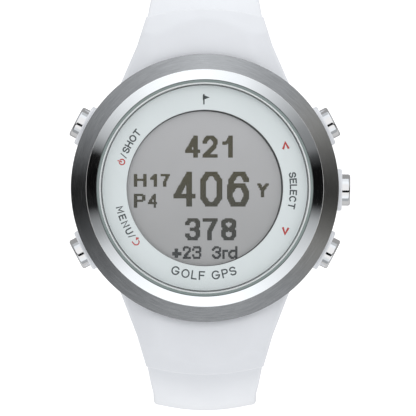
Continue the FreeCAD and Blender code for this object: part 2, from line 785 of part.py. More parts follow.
def keeper(span, side_gap, top_gap):
    """A loop round the strap, with room on its outer side for the other half."""
    inner_x = STRAP_HALF_WIDTH + side_gap
    outer_x = inner_x + KEEPER_WALL
    top = UPPER_FLAT_Z + STRAP_THICK / 2 + top_gap
    bottom = UPPER_FLAT_Z - STRAP_THICK / 2 - KEEPER_ROOM
    loop = box((-outer_x, span[0], bottom - KEEPER_WALL), (outer_x, span[1], top + KEEPER_WALL))
    loop = loop.makeFillet(1.0, edges_along_y(loop))
    return loop.cut(box((-inner_x, span[0] - 1, bottom), (inner_x, span[1] + 1, top)))


def fixed_keeper():
    return keeper(FIXED_KEEPER_Y, 0.0, 0.0)


def free_keeper():
    return keeper(FREE_KEEPER_Y, 0.25, 0.2)


# ---- Every node, by name


def nodes():
    parts = {
        "mid_case": mid_case(),
        "bezel_ring": bezel_ring(),
        "bezel_gasket": bezel_gasket(),
        "crystal": crystal(),
        "dial_ring": dial_ring(),
        "lcd_module": lcd_module(),
        "lcd_frame": lcd_frame(),
        "main_board": main_board(),
        "gps_antenna": gps_antenna(),
        "board_screws": board_screws(),
        "battery": battery(),
        "vibration_motor": vibration_motor(),
        "case_back": case_back(),
        "case_back_gasket": case_back_gasket(),
        "case_back_screws": case_back_screws(),
        "charge_contact_block": charge_contact_block(),
        "charge_contacts": charge_contacts(),
        "button_sleeves": button_sleeves(),
        "button_seals": button_seals(),
        "tactile_switches": tactile_switches(),
        "spring_bar_12": spring_bar(),
        "spring_bar_6": facing_six(spring_bar()),
        "strap_upper": strap_upper(),
        "strap_lower": strap_lower(),
        "fixed_keeper": fixed_keeper(),
        "free_keeper": free_keeper(),
        "buckle_frame": buckle_frame(),
        "buckle_pin": buckle_pin(),
        "buckle_tongue": buckle_tongue(),
    }
    for name, angle in BUTTON_ANGLES.items():
        parts[f"button_{name}"] = turned(button_cap(), angle)
        parts[f"button_spring_{name}"] = turned(button_spring(), angle)
        parts[f"button_clip_{name}"] = turned(button_clip(), angle)
    return parts


def main():
    os.makedirs("parts", exist_ok=True)
    for name, shape in nodes().items():
        if not shape.isValid() or not shape.Solids:
            raise ValueError(f"{name} is not a valid solid")
        shape.exportStep(f"parts/{name}.step")
        print(f"{name}: {len(shape.Solids)} solid(s), {shape.Volume:.2f} mm3")


main()
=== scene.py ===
"""Golf GPS watch: the detailed visual model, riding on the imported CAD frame.

Lengths in this file are millimetres in the CAD's own frame, and become metres when a mesh is made:
+Z points out through the dial, +Y to 12 o'clock, +X to 3 o'clock, and the case back lies in z = 0.
"""

import math

import bmesh
import bpy
import numpy as np
from mathutils import Matrix, Vector


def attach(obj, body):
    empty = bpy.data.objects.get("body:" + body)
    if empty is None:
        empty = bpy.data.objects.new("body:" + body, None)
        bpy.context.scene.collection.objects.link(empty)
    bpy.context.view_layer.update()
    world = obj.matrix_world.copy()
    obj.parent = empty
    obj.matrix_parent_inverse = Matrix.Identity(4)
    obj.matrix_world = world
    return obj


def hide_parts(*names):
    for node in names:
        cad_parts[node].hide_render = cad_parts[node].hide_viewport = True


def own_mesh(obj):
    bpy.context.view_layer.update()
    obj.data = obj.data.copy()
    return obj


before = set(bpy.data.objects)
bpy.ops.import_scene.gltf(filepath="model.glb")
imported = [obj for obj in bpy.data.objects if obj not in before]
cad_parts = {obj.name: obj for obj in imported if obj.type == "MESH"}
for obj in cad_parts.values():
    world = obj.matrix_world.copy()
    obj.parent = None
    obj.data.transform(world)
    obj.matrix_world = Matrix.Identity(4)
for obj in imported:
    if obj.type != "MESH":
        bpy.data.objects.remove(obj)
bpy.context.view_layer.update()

MM = 0.001

# ---- Case stack
BEZEL_R = 23.0
RIDGE_R = 20.36
BEZEL_INNER_R = 18.62
RIDGE_Z = 14.0
BEZEL_INNER_Z = 12.95
BEZEL_EDGE_Z = 12.2
CASE_R = 22.0
CASE_TOP_Z = 11.3
CAVITY_R = 17.3
FOOT_IN_R, FOOT_OUT_R, FOOT_Z = 19.4, 20.2, 10.2
CRYSTAL_R = 18.15
CRYSTAL_FLOOR_Z = 11.25
CRYSTAL_TOP_Z = 12.9
GASKET_R = 18.6
GASKET_LIP_R = 17.85
GASKET_FLOOR_Z = 10.9
DIAL_RING_R = 17.7
DIAL_OPENING_R = 13.42
DIAL_FLOOR_Z = 10.5
DIAL_TOP_Z = 11.2
LCD_TOP_Z = 10.2
LCD_PITCH = 0.2
LCD_DOT = 0.196
CASE_BACK_R = 20.4
CASE_BACK_TOP_Z = 1.5
SEAT_PLAY = 0.05
FINE = 288

# ---- Buttons: angles anticlockwise from 3 o'clock
BUTTONS = {"power": 152.5, "menu": 207.5, "up": 27.5, "select": -0.8, "down": -27.5}
BUTTON_Z = 6.7
BORE_FLOOR_R = 21.0
GUARD_FACE = 23.6

# ---- Strap
PIN_U = 24.0
PIN_Z = 8.0
STRAP_THICK = 2.6
STRAP_HALF_WIDTH = 8.9
NECK_HALF_WIDTH = 10.2
PIN_BORE_R = 0.8
SHOULDER_U = 22.0
END_RIM = 0.2
HOLE_PITCH = 6.5
VERTICAL_U = 37.3
HEADING = math.radians(-38.0)
ROOT_Z = 5.0
BUCKLE_Y = -2.5
BUCKLE_Z = -27.97

# ---- Case back
SCREW_R = 19.2
CONTACT_Y = -10.5
CONTACT_PITCH = 3.0


# ---- Meshes


def rounded(corners, steps=5):
    """A closed outline with each corner (a, b, radius) rounded off.

    An extra point just outside each arc keeps the shading of the flat beside it flat.
    """
    outline = []
    for index, (a, b, radius) in enumerate(corners):
        corner = np.array((a, b), float)
        if radius <= 0:
            outline.append(corner)
            continue
        before = np.array(corners[index - 1][:2], float) - corner
        after = np.array(corners[(index + 1) % len(corners)][:2], float) - corner
        before /= np.linalg.norm(before)
        after /= np.linalg.norm(after)
        half = math.acos(np.clip(before @ after, -1, 1)) / 2
        start = before * radius / math.tan(half)
        end = after * radius / math.tan(half)
        hold = min(0.2 * radius, 0.02)
        centre = (before + after) / np.linalg.norm(before + after) * radius / math.sin(half)
        sweep = math.pi - 2 * half
        outline.append(corner + start + before * hold)
        for step in range(steps + 1):
            share = step / steps
            arm = math.sin((1 - share) * sweep) * (start - centre) + math.sin(share * sweep) * (end - centre)
            outline.append(corner + centre + arm / math.sin(sweep))
        outline.append(corner + end + after * hold)
    return np.array(outline)


def arc(radius, start, end, steps=20):
    """Points round the origin from one angle to another, in degrees."""
    angles = np.radians(np.linspace(start, end, steps))
    return [(radius * math.cos(a), radius * math.sin(a)) for a in angles]


def box_outline(x, low, high, radius=0.0, top_radius=None):
    """A rectangle 2x wide, with its lower corners rounded, and its upper ones too or by their own radius."""
    upper = radius if top_radius is None else top_radius
    return [(-x, low, radius), (x, low, radius), (x, high, upper), (-x, high, upper)]


def mesh_object(name, points, faces):
    """A welded mesh with its normals facing outwards, from points in millimetres."""
    mesh = bpy.data.meshes.new(name)
    mesh.from_pydata((np.asarray(points, float) * MM).tolist(), [], faces)
    bm = bmesh.new()
    bm.from_mesh(mesh)
    bmesh.ops.remove_doubles(bm, verts=bm.verts, dist=1e-7)
    loose = [edge for edge in bm.edges if not edge.link_faces]
    bmesh.ops.delete(bm, geom=loose, context="EDGES")
    bmesh.ops.recalc_face_normals(bm, faces=bm.faces)
    bm.to_mesh(mesh)
    bm.free()
    obj = bpy.data.objects.new(name, mesh)
    bpy.context.scene.collection.objects.link(obj)
    return obj


def grid_faces(rows, columns, closed_rows=False, closed_columns=False):
    """Quads between the points of a grid that is stored row by row."""
    faces = []
    for row in range(rows if closed_rows else rows - 1):
        for column in range(columns if closed_columns else columns - 1):
            here, below = row * columns, (row + 1) % rows * columns
            beside = (column + 1) % columns
            faces.append((here + column, here + beside, below + beside, below + column))
    return faces


def end_faces(rows, columns):
    """Quads that close the first and last row of sections whose second half runs back under the first."""
    faces = []
    for first in (0, (rows - 1) * columns):
        last = first + columns - 1
        for step in range(columns // 2 - 1):
            faces.append((first + step, first + step + 1, last - step - 1, last - step))
    return faces


def moved(points, matrix):
    """Points placed by a matrix."""
    return [tuple(matrix @ Vector(point)) for point in points]


def turned(name, profile, segments=FINE, matrix=None):
    """Turns a closed outline of (radius, height) about the Z axis, then places it."""
    points = []
    for index in range(segments):
        angle = 2 * math.pi * index / segments
        points += [(r * math.cos(angle), r * math.sin(angle), h) for r, h in profile]
    if matrix is not None:
        points = moved(points, matrix)
    return mesh_object(name, points, grid_faces(segments, len(profile), True, True))


def prism(name, outline, low, high, matrix=None):
    """A closed outline in (a, b), given thickness along the third axis, then placed."""
    count = len(outline)
    points = [(a, b, low) for a, b in outline] + [(a, b, high) for a, b in outline]
    faces = grid_faces(2, count, False, True) + [tuple(range(count)), tuple(range(count, 2 * count))]
    return mesh_object(name, moved(points, matrix) if matrix is not None else points, faces)


def hoop(name, outer, inner, low, high, matrix):
    """A frame between two outlines that have the same number of points."""
    points = []
    for z, line in ((low, outer), (low, inner), (high, inner), (high, outer)):
        points += [(a, b, z) for a, b in line]
    return mesh_object(name, moved(points, matrix), grid_faces(4, len(outer), True, True))


def bake(obj):
    """Makes the modifiers' result the mesh."""
    depsgraph = bpy.context.evaluated_depsgraph_get()
    mesh = bpy.data.meshes.new_from_object(obj.evaluated_get(depsgraph))
    obj.modifiers.clear()
    obj.data = mesh
    return obj


def combine(obj, others, operation):
    """A boolean with each of the others, which are used up, without the empty material slot it leaves."""
    for other in others:
        modifier = obj.modifiers.new("combine", "BOOLEAN")
        modifier.operation = operation
        modifier.solver = "MANIFOLD"
        modifier.object = other
    bpy.context.view_layer.update()
    bake(obj)
    obj.data.materials.clear()
    for other in others:
        bpy.data.objects.remove(other)
    return obj


def soften(obj, width, segments, angle):
    """Rounds every edge sharper than an angle."""
    modifier = obj.modifiers.new("soften", "BEVEL")
    modifier.width = width * MM
    modifier.segments = segments
    modifier.limit_method = "ANGLE"
    modifier.angle_limit = math.radians(angle)
    return bake(obj)


def joined(name, objects):
    """One mesh from several, which are used up."""
    bm = bmesh.new()
    for obj in objects:
        bm.from_mesh(obj.data)
        bpy.data.objects.remove(obj)
    mesh = bpy.data.meshes.new(name)
    bm.to_mesh(mesh)
    bm.free()
    obj = bpy.data.objects.new(name, mesh)
    bpy.context.scene.collection.objects.link(obj)
    return obj


def piece(obj, body, materials, replaces=(), sharp=32):
    """Shades a finished mesh, gives it its materials and puts it on its body."""
    obj.data.shade_smooth()
    obj.data.set_sharp_from_angle(angle=math.radians(sharp))
    for material in materials if isinstance(materials, (list, tuple)) else [materials]:
        obj.data.materials.append(material)
    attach(obj, body)
    if replaces:
        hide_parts(*replaces)


def paint(obj, index, test):
    """Gives a material slot to the faces whose centre (x, y, z in millimetres) passes a test."""
    for face in obj.data.polygons:
        if test(*(face.center / MM)):
            face.material_index = index


# Places for prisms: an outline in (y, z) thickened along X, and one in (x, z) thickened along Y.
SIDEWAYS = Matrix(((0, 0, 1, 0), (1, 0, 0, 0), (0, 1, 0, 0), (0, 0, 0, 1)))
UPRIGHT = Matrix(((1, 0, 0, 0), (0, 0, 1, 0), (0, 1, 0, 0), (0, 0, 0, 1)))


def along_x(y, z):
    """Places a lathe's axis along +X at (y, z)."""
    return Matrix.Translation((0, y, z)) @ Matrix.Rotation(math.pi / 2, 4, "Y")


def along_spoke(degrees):
    """Places a lathe's axis along a button's, so that its heights are distances from the case's centre."""
    turn = Matrix.Rotation(math.radians(degrees), 4, "Z")
    return turn @ Matrix.Translation((0, 0, BUTTON_Z)) @ Matrix.Rotation(math.pi / 2, 4, "Y")


# ---- Materials


class Shader:
    """A material and short calls that add nodes to it."""

    def __init__(self, name):
        self.adopt(bpy.data.materials.new(name), "Principled BSDF", "Material Output")

    def adopt(self, material, surface, output):
        self.material = material
        self.material.use_nodes = True
        self.tree = material.node_tree
        self.surface = self.tree.nodes[surface]
        self.output = self.tree.nodes[output]

    def add(self, kind, inputs=None, **settings):
        node = self.tree.nodes.new(kind)
        for key, value in settings.items():
            setattr(node, key, value)
        self.fill(node, inputs or {})
        return node

    def fill(self, node, inputs):
        for key, value in inputs.items():
            if isinstance(value, bpy.types.NodeSocket):
                self.tree.links.new(value, node.inputs[key])
            else:
                node.inputs[key].default_value = value

    def math(self, operation, *values):
        return self.add("ShaderNodeMath", dict(enumerate(values)), operation=operation).outputs[0]

    def vector(self, operation, *values):
        return self.add("ShaderNodeVectorMath", dict(enumerate(values)), operation=operation).outputs[0]

    def scaled(self, vector, scale):
        return self.add("ShaderNodeVectorMath", {0: vector, "Scale": scale}, operation="SCALE").outputs[0]

    def split(self, vector):
        """The X, Y and Z of a vector."""
        return self.add("ShaderNodeSeparateXYZ", {0: vector}).outputs.values()

    def millimetres(self):
        return self.scaled(self.add("ShaderNodeTexCoord").outputs["Object"], 1 / MM)

    def noise(self, vector, scale, detail):
        inputs = {"Vector": vector, "Scale": scale, "Detail": detail}
        return self.add("ShaderNodeTexNoise", inputs).outputs["Fac"]

    def remap(self, value, start, end, low=0.0, high=1.0):
        """Takes start to low and end to high."""
        inputs = {"Value": value, "From Min": start, "From Max": end, "To Min": low, "To Max": high}
        return self.add("ShaderNodeMapRange", inputs).outputs[0]

    def spread(self, fac, low, high):
        """Stretches a noise, which stays mostly between 0.3 and 0.7, over low to high."""
        return self.remap(fac, 0.3, 0.7, low, high)

    def mix(self, fac, first, second, way="MIX"):
        """Two colours or colour sockets mixed."""
        colours = [c if isinstance(c, bpy.types.NodeSocket) else (*c, 1) for c in (first, second)]
        node = self.add("ShaderNodeMix", data_type="RGBA", blend_type=way)
        self.fill(node, {0: fac, 6: colours[0], 7: colours[1]})
        return node.outputs[2]

    def bump(self, height, strength, depth):
        inputs = {"Height": height, "Strength": strength, "Distance": depth * MM}
        return self.add("ShaderNodeBump", inputs).outputs[0]

    def blend(self, fac, first, second):
        """Two shader nodes mixed."""
        return self.add("ShaderNodeMixShader", {0: fac, 1: first.outputs[0], 2: second.outputs[0]})


def tint(colour, share):
    """A colour darkened to a share of itself."""
    return tuple(channel * share for channel in colour)


def moulded(name, colour, roughness, grain=0.12, depth=0.004, variation=0.05):
    """Moulded plastic or rubber: a fine grain, and slightly uneven tone and gloss."""
    shader = Shader(name)
    place = shader.millimetres()
    fine = shader.noise(place, 1 / grain, 3)
    broad = shader.spread(shader.noise(place, 0.16, 3), 0, 1)
    inputs = {
        "Base Color": shader.mix(broad, tint(colour, 1 - variation), colour),
        "Roughness": shader.spread(fine, roughness - 0.05, roughness + 0.05),
        "Normal": shader.bump(fine, 0.35, depth),
    }
    shader.fill(shader.surface, inputs)
    return shader.material


def round_brush(shader, pitch, streak):
    """Noise drawn out round the Z axis: pitch across the lines, and streak turns the lines' length."""
    x, y, z = shader.split(shader.millimetres())
    flat = shader.add("ShaderNodeCombineXYZ", {"X": x, "Y": y}).outputs[0]
    length = shader.add("ShaderNodeVectorMath", {0: flat}, operation="LENGTH").outputs["Value"]
    line = shader.math("MULTIPLY", shader.math("ADD", length, z), 1 / pitch)
    around = shader.scaled(shader.vector("NORMALIZE", flat), streak)
    return shader.vector("ADD", around, shader.add("ShaderNodeCombineXYZ", {"Z": line}).outputs[0])


def straight_brush(shader, pitch, streak):
    """Noise drawn out along X."""
    return shader.vector("MULTIPLY", shader.millimetres(), (streak, 1 / pitch, 1 / pitch))


def brushed(name, colour, roughness, brush, depth=0.003, contrast=0.12, anisotropic=0.0):
    """Brushed metal. Its brush is the kind of noise that draws the lines, their pitch and their streak."""
    shader = Shader(name)
    kind, pitch, streak = brush
    fac = shader.noise(kind(shader, pitch, streak), 1.0, 3)
    inputs = {
        "Base Color": shader.mix(shader.spread(fac, 0, 1), tint(colour, 1 - contrast), colour),
        "Metallic": 1.0,
        "Roughness": shader.spread(fac, roughness - 0.05, roughness + 0.05),
        "Normal": shader.bump(fac, 0.15, depth),
    }
    if anisotropic:
        tangent = shader.add("ShaderNodeTangent", direction_type="RADIAL", axis="Z").outputs[0]
        inputs.update({"Anisotropic": anisotropic, "Anisotropic Rotation": 0.25, "Tangent": tangent})
    shader.fill(shader.surface, inputs)
    return shader.material


def polished(name, colour, roughness):
    """Polished steel with faint handling marks."""
    shader = Shader(name)
    marks = shader.noise(shader.millimetres(), 1.2, 6)
    inputs = {
        "Base Color": shader.mix(marks, tint(colour, 0.96), colour),
        "Metallic": 1.0,
        "Roughness": shader.spread(marks, roughness, roughness + 0.05),
    }
    shader.fill(shader.surface, inputs)
    return shader.material


def glass(name, clear, frost):
    """Clear glass that mirrors at its outer surface only, with a share of frosting where it is ground."""
    shader = Shader(name)
    shader.tree.nodes.remove(shader.surface)
    fresnel = shader.add("ShaderNodeFresnel", {"IOR": 1.5}).outputs[0]
    inside = shader.add("ShaderNodeNewGeometry").outputs["Backfacing"]
    share = shader.math("MULTIPLY", fresnel, shader.math("SUBTRACT", 1.0, inside))
    smear = shader.spread(shader.noise(shader.millimetres(), 0.3, 4), 0.0, 0.03)
    mirror = shader.add("ShaderNodeBsdfGlossy", {"Color": (1, 1, 1, 1), "Roughness": smear})
    through = shader.add("ShaderNodeBsdfTransparent", {"Color": (*clear, 1)})
    body = shader.blend(share, through, mirror)
    if frost:
        ground = shader.add("ShaderNodeBsdfDiffuse", {"Color": (0.96, 0.98, 0.98, 1)})
        body = shader.blend(frost, body, ground)
    shader.fill(shader.output, {"Surface": body.outputs[0]})
    return shader.material


def display(name):
    """Grey reflective display: a faint grid of pixels over an uneven silvery ground, darker at 6 o'clock."""
    shader = Shader(name)
    place = shader.millimetres()
    cell = shader.vector("MULTIPLY", place, (1 / LCD_PITCH, 1 / LCD_PITCH, 0))
    across, up, _ = shader.split(shader.vector("FRACTION", cell))
    gap = shader.math("LESS_THAN", shader.math("MINIMUM", across, up), 0.1)
    broad = shader.spread(shader.noise(place, 0.12, 2), -0.12, 0.12)
    _, y, _ = shader.split(place)
    level = shader.math("ADD", shader.remap(y, -12, 12), broad)
    ground = shader.mix(level, (0.405, 0.402, 0.404), (0.485, 0.480, 0.488))
    grid = shader.mix(gap, ground, (0.93, 0.93, 0.94), "MULTIPLY")
    shader.fill(shader.surface, {"Base Color": grid, "Roughness": 0.42})
    return shader.material


def display_ink(name):
    """Display segments, olive at the top of the display and slate at the bottom."""
    shader = Shader(name)
    place = shader.millimetres()
    _, y, _ = shader.split(place)
    colour = shader.mix(shader.remap(y, -11.0, 2.0), (0.010, 0.015, 0.018), (0.042, 0.034, 0.004))
    wear = shader.spread(shader.noise(place, 2.5, 2), 0, 0.3)
    uneven = shader.mix(wear, colour, (0.7, 0.7, 0.7), "MULTIPLY")
    shader.fill(shader.surface, {"Base Color": uneven, "Roughness": 0.5})
    return shader.material


def circuit(name):
    """Green solder mask with darker tracks under it."""
    shader = Shader(name)
    cells = {"Vector": shader.millimetres(), "Scale": 0.7}
    tracks = shader.add("ShaderNodeTexVoronoi", cells, distance="MANHATTAN").outputs["Distance"]
    edge = shader.math("GREATER_THAN", tracks, 0.45)
    colour = shader.mix(edge, (0.012, 0.10, 0.045), (0.02, 0.16, 0.08))
    relief = shader.bump(edge, 0.3, 0.02)
    shader.fill(shader.surface, {"Base Color": colour, "Roughness": 0.35, "Normal": relief})
    return shader.material


WHITE = moulded("white_resin", (0.785, 0.803, 0.832), 0.34, grain=0.1, depth=0.003, variation=0.03)
DIAL = moulded("dial_white", (0.77, 0.815, 0.82), 0.5, grain=0.06, depth=0.001, variation=0.03)
FRAME_WHITE = moulded("frame_white", (0.70, 0.70, 0.69), 0.5)
GREY_SEAL = moulded("grey_seal", (0.25, 0.30, 0.29), 0.6, variation=0.1)
BLACK_SEAL = moulded("black_seal", (0.02, 0.02, 0.02), 0.6)
BLACK_PLASTIC = moulded("black_plastic", (0.025, 0.025, 0.028), 0.45)
CERAMIC = moulded("antenna_ceramic", (0.58, 0.53, 0.44), 0.55, grain=0.2, depth=0.01)
FOIL = moulded("battery_foil", (0.42, 0.43, 0.45), 0.38, grain=0.5, depth=0.03, variation=0.15)
PRINT = moulded("dial_print", (0.022, 0.036, 0.042), 0.5)
PRINT_RED = moulded("dial_print_red", (0.52, 0.018, 0.012), 0.5)
LCD = display("lcd")
LCD_INK = display_ink("lcd_ink")
BOARD = circuit("circuit_board")
GLASS = glass("mineral_glass", (0.99, 0.994, 0.993), 0.0)
GROUND_GLASS = glass("mineral_glass_ground", (0.98, 0.99, 0.99), 0.95)
BEZEL_BRUSH = (round_brush, 0.045, 9.0)
BEVEL_BRUSH = (round_brush, 0.09, 6.0)
BEZEL = brushed("brushed_bezel", (0.50, 0.50, 0.505), 0.19, BEZEL_BRUSH, contrast=0.1, anisotropic=0.3)
BEVEL = brushed("bezel_bevel", (1.0, 1.0, 1.0), 0.08, BEVEL_BRUSH, 0.0008, 0.05, 0.2)
STEEL = polished("polished_steel", (0.86, 0.86, 0.87), 0.06)
SATIN = brushed("satin_steel", (0.6, 0.6, 0.61), 0.3, (straight_brush, 0.08, 0.25))
BUCKLE_STEEL = brushed("buckle_steel", (0.44, 0.44, 0.45), 0.17, (straight_brush, 0.06, 0.2), contrast=0.2)
BACK_STEEL = brushed("satin_back", (0.6, 0.6, 0.61), 0.3, (round_brush, 0.1, 1.5), anisotropic=0.5)
GOLD = polished("gold_contact", (0.83, 0.60, 0.26), 0.16)
SPRING = polished("spring_steel", (0.55, 0.55, 0.56), 0.2)


# ---- Case, bezel and crystal


def make_bezel():
    """A ring with a foot in the case, a brushed face that slopes outwards and a bright bevel inside it."""
    profile = rounded([
        (BEZEL_INNER_R, CASE_TOP_Z, 0.03),
        (FOOT_IN_R, CASE_TOP_Z, 0.02), (FOOT_IN_R, FOOT_Z, 0.05),
        (FOOT_OUT_R, FOOT_Z, 0.05), (FOOT_OUT_R, CASE_TOP_Z, 0.02),
        (BEZEL_R - 0.28, CASE_TOP_Z, 0.1), (BEZEL_R, CASE_TOP_Z + 0.28, 0.1), (BEZEL_R, BEZEL_EDGE_Z, 0.1),
        (RIDGE_R, RIDGE_Z, 0.05), (BEZEL_INNER_R, BEZEL_INNER_Z, 0.05),
    ])
    bezel = turned("bezel", profile, 360)
    paint(bezel, 1, lambda x, y, z: z > BEZEL_INNER_Z + 0.02 and math.hypot(x, y) < RIDGE_R)
    piece(bezel, "case", [BEZEL, BEVEL], ["bezel_ring"], sharp=28)


def make_gasket():
    """An L-shaped ring, under the glass and round it."""
    top = BEZEL_INNER_Z - 0.1
    profile = rounded([
        (GASKET_LIP_R, GASKET_FLOOR_Z, 0.05), (GASKET_R, GASKET_FLOOR_Z, 0.05),
        (GASKET_R, top, 0.12), (CRYSTAL_R, top, 0.1),
        (CRYSTAL_R, CRYSTAL_FLOOR_Z, 0.0), (GASKET_LIP_R, CRYSTAL_FLOOR_Z, 0.05),
    ])
    piece(turned("glass_gasket", profile), "case", GREY_SEAL, ["bezel_gasket"])


def make_crystal():
    """Flat glass with a ground chamfer."""
    low, high, chamfer = CRYSTAL_FLOOR_Z, CRYSTAL_TOP_Z, 0.25
    edge = [(CRYSTAL_R, low, 0.05), (CRYSTAL_R, high - chamfer, 0.03), (CRYSTAL_R - chamfer, high, 0.03)]
    crystal = turned("watch_glass", rounded([(0, low, 0)] + edge + [(0, high, 0)], 3))
    paint(crystal, 1, lambda x, y, z: math.hypot(x, y) > CRYSTAL_R - chamfer - 0.02)
    piece(crystal, "case", [GLASS, GROUND_GLASS], ["crystal"], sharp=20)


def case_body():
    """The turned body, with its seats for the bezel, gasket, dial and case back."""
    foot_in, foot_out, foot_z = FOOT_IN_R - 0.02, FOOT_OUT_R + 0.02, FOOT_Z - SEAT_PLAY
    gasket_seat = GASKET_R + SEAT_PLAY
    dial_seat = DIAL_RING_R + SEAT_PLAY
    back_seat = CASE_BACK_R + SEAT_PLAY
    profile = rounded([
        (CAVITY_R, CASE_BACK_TOP_Z, 0.1), (back_seat, CASE_BACK_TOP_Z, 0), (back_seat, 0.5, 0.05),
        (20.9, 0.5, 0.12), (CASE_R, 3.5, 0.8), (CASE_R, CASE_TOP_Z, 0.15),
        (foot_out, CASE_TOP_Z, 0), (foot_out, foot_z, 0), (foot_in, foot_z, 0), (foot_in, CASE_TOP_Z, 0),
        (gasket_seat, CASE_TOP_Z, 0), (gasket_seat, GASKET_FLOOR_Z, 0),
        (dial_seat, GASKET_FLOOR_Z, 0), (dial_seat, DIAL_FLOOR_Z, 0), (CAVITY_R, DIAL_FLOOR_Z, 0),
    ], 6)
    return turned("case_body", profile)


def guard(degrees):
    """The raised collar round a button, which flares into the case."""
    root, face, foot_r, collar_r = 19.4, GUARD_FACE, 4.3, 3.6
    flare = [(foot_r, root, 0), (collar_r, 22.6, 1.2), (collar_r, face, 0.35)]
    return turned("guard", rounded([(0, root, 0)] + flare + [(0, face, 0)]), 72, along_spoke(degrees))


def button_bore(degrees):
    """A bore for the stem, a pocket for the cap and an eased rim, cut in from past the guard."""
    inside, outside = CAVITY_R - 1, 26
    stem_r, cap_r, rim_r = 1.6, 2.9, 3.25
    profile = rounded([
        (0, inside, 0), (stem_r, inside, 0), (stem_r, BORE_FLOOR_R, 0), (cap_r, BORE_FLOOR_R, 0.2),
        (cap_r, GUARD_FACE - 0.25, 0.2), (rim_r, GUARD_FACE + 0.02, 0), (rim_r, outside, 0), (0, outside, 0),
    ])
    return turned("bore", profile, 72, along_spoke(degrees))


def round_the_pin(radius, start, end):
    """Points of an arc about the spring bar, from one angle to the other."""
    angles = np.radians(range(start, end, 12 if end > start else -12))
    return [(PIN_U + radius * math.cos(a), PIN_Z + radius * math.sin(a)) for a in angles]


def lug_ear(side, end):
    """One ear that holds a tip of a spring bar."""
    outline = [(19.6, 9.4), (20.6, 8.9), (PIN_U - 1.0, 9.2)] + round_the_pin(1.7, 108, -61)
    outline += [(23.3, 6.0), (22.9, 5.5), (22.3, 5.0), (19.6, 5.0)]
    turn = Matrix.Rotation(math.pi, 4, "Z") if end == "lower" else Matrix()
    low, high = sorted((side * 7.5, side * 9.5))
    return soften(prism("ear", outline, low, high, turn @ SIDEWAYS), 0.2, 2, 50)


def make_mid_case():
    """The case's body with its lugs, and a guard and a bore for each button."""
    body = case_body()
    ears = [lug_ear(side, end) for side in (-1, 1) for end in ("upper", "lower")]
    combine(body, ears + [guard(angle) for angle in BUTTONS.values()], "UNION")
    combine(body, [button_bore(angle) for angle in BUTTONS.values()], "DIFFERENCE")
    piece(body, "case", WHITE, ["mid_case"], sharp=30)


# ---- Dial ring and its printing


def make_dial_ring():
    """A pale ring with a black outer edge, which is painted shade of the gap next to the gasket."""
    inner, outer, low, high = DIAL_OPENING_R, DIAL_RING_R, DIAL_FLOOR_Z, DIAL_TOP_Z
    profile = rounded([(inner, low, 0.03), (outer, low, 0.03), (outer, high, 0.06), (inner, high, 0.12)])
    ring = turned("dial", profile)
    # The outermost 0.1 mm is black: painted shade in the gap between the dial and the gasket.
    paint(ring, 1, lambda x, y, z: math.hypot(x, y) > outer - 0.1)
    piece(ring, "case", [DIAL, BLACK_PLASTIC], ["dial_ring"], sharp=40)


PRINT_Z = DIAL_TOP_Z + 0.006
LABEL_R = 15.0
CAP_HEIGHT = 1.25
LABEL_STROKE = 0.23
MARK_STROKE = 0.2
CHEVRON_STROKE = 0.36
LETTER_GAP = 0.34
INK = 0.004


def ribbon(line, width, thickness, place):
    """A flat line with square ends that reach half a width past its end points, and mitred corners."""
    path = np.array(line, float)
    ways = np.diff(path, axis=0)
    ways /= np.linalg.norm(ways, axis=1)[:, None]
    before = np.vstack([ways[:1], ways])
    after = np.vstack([ways, ways[-1:]])
    along = before + after
    along /= np.linalg.norm(along, axis=1)[:, None]
    across = np.column_stack([-along[:, 1], along[:, 0]])
    closeness = np.abs((along * before).sum(axis=1))
    across *= (width / 2 / np.maximum(closeness, 0.6))[:, None]
    path[0] -= ways[0] * width / 2
    path[-1] += ways[-1] * width / 2
    points = []
    for spot, side in zip(path, across):
        for sign, z in ((-1, -INK), (1, -INK), (1, thickness), (-1, thickness)):
            points.append((*(spot + sign * side), PRINT_Z + z))
    faces = grid_faces(len(path), 4, closed_columns=True) + [(0, 1, 2, 3)]
    faces.append(tuple(len(points) - 1 - corner for corner in range(4)))
    return mesh_object("line", moved(points, place), faces)


def ink_stroke(name, lines, width, place):
    """Painted lines on the dial, each a little thicker than the one before, so that no two faces coincide."""
    ribbons = [ribbon(line, width, INK * (1 + 0.2 * order), place) for order, line in enumerate(lines)]
    return joined(name, ribbons)


def on_dial(degrees, turn, radius=LABEL_R):
    """A place on the dial, turned about itself."""
    angle = math.radians(degrees)
    spot = Matrix.Translation((radius * math.cos(angle), radius * math.sin(angle), 0))
    return spot @ Matrix.Rotation(math.radians(turn), 4, "Z")


def oval(start, end):
    """Part of the rounded outline that fills a letter's box."""
    return [(0.5 + x, 0.5 + y) for x, y in arc(0.5, start, end, 24)]


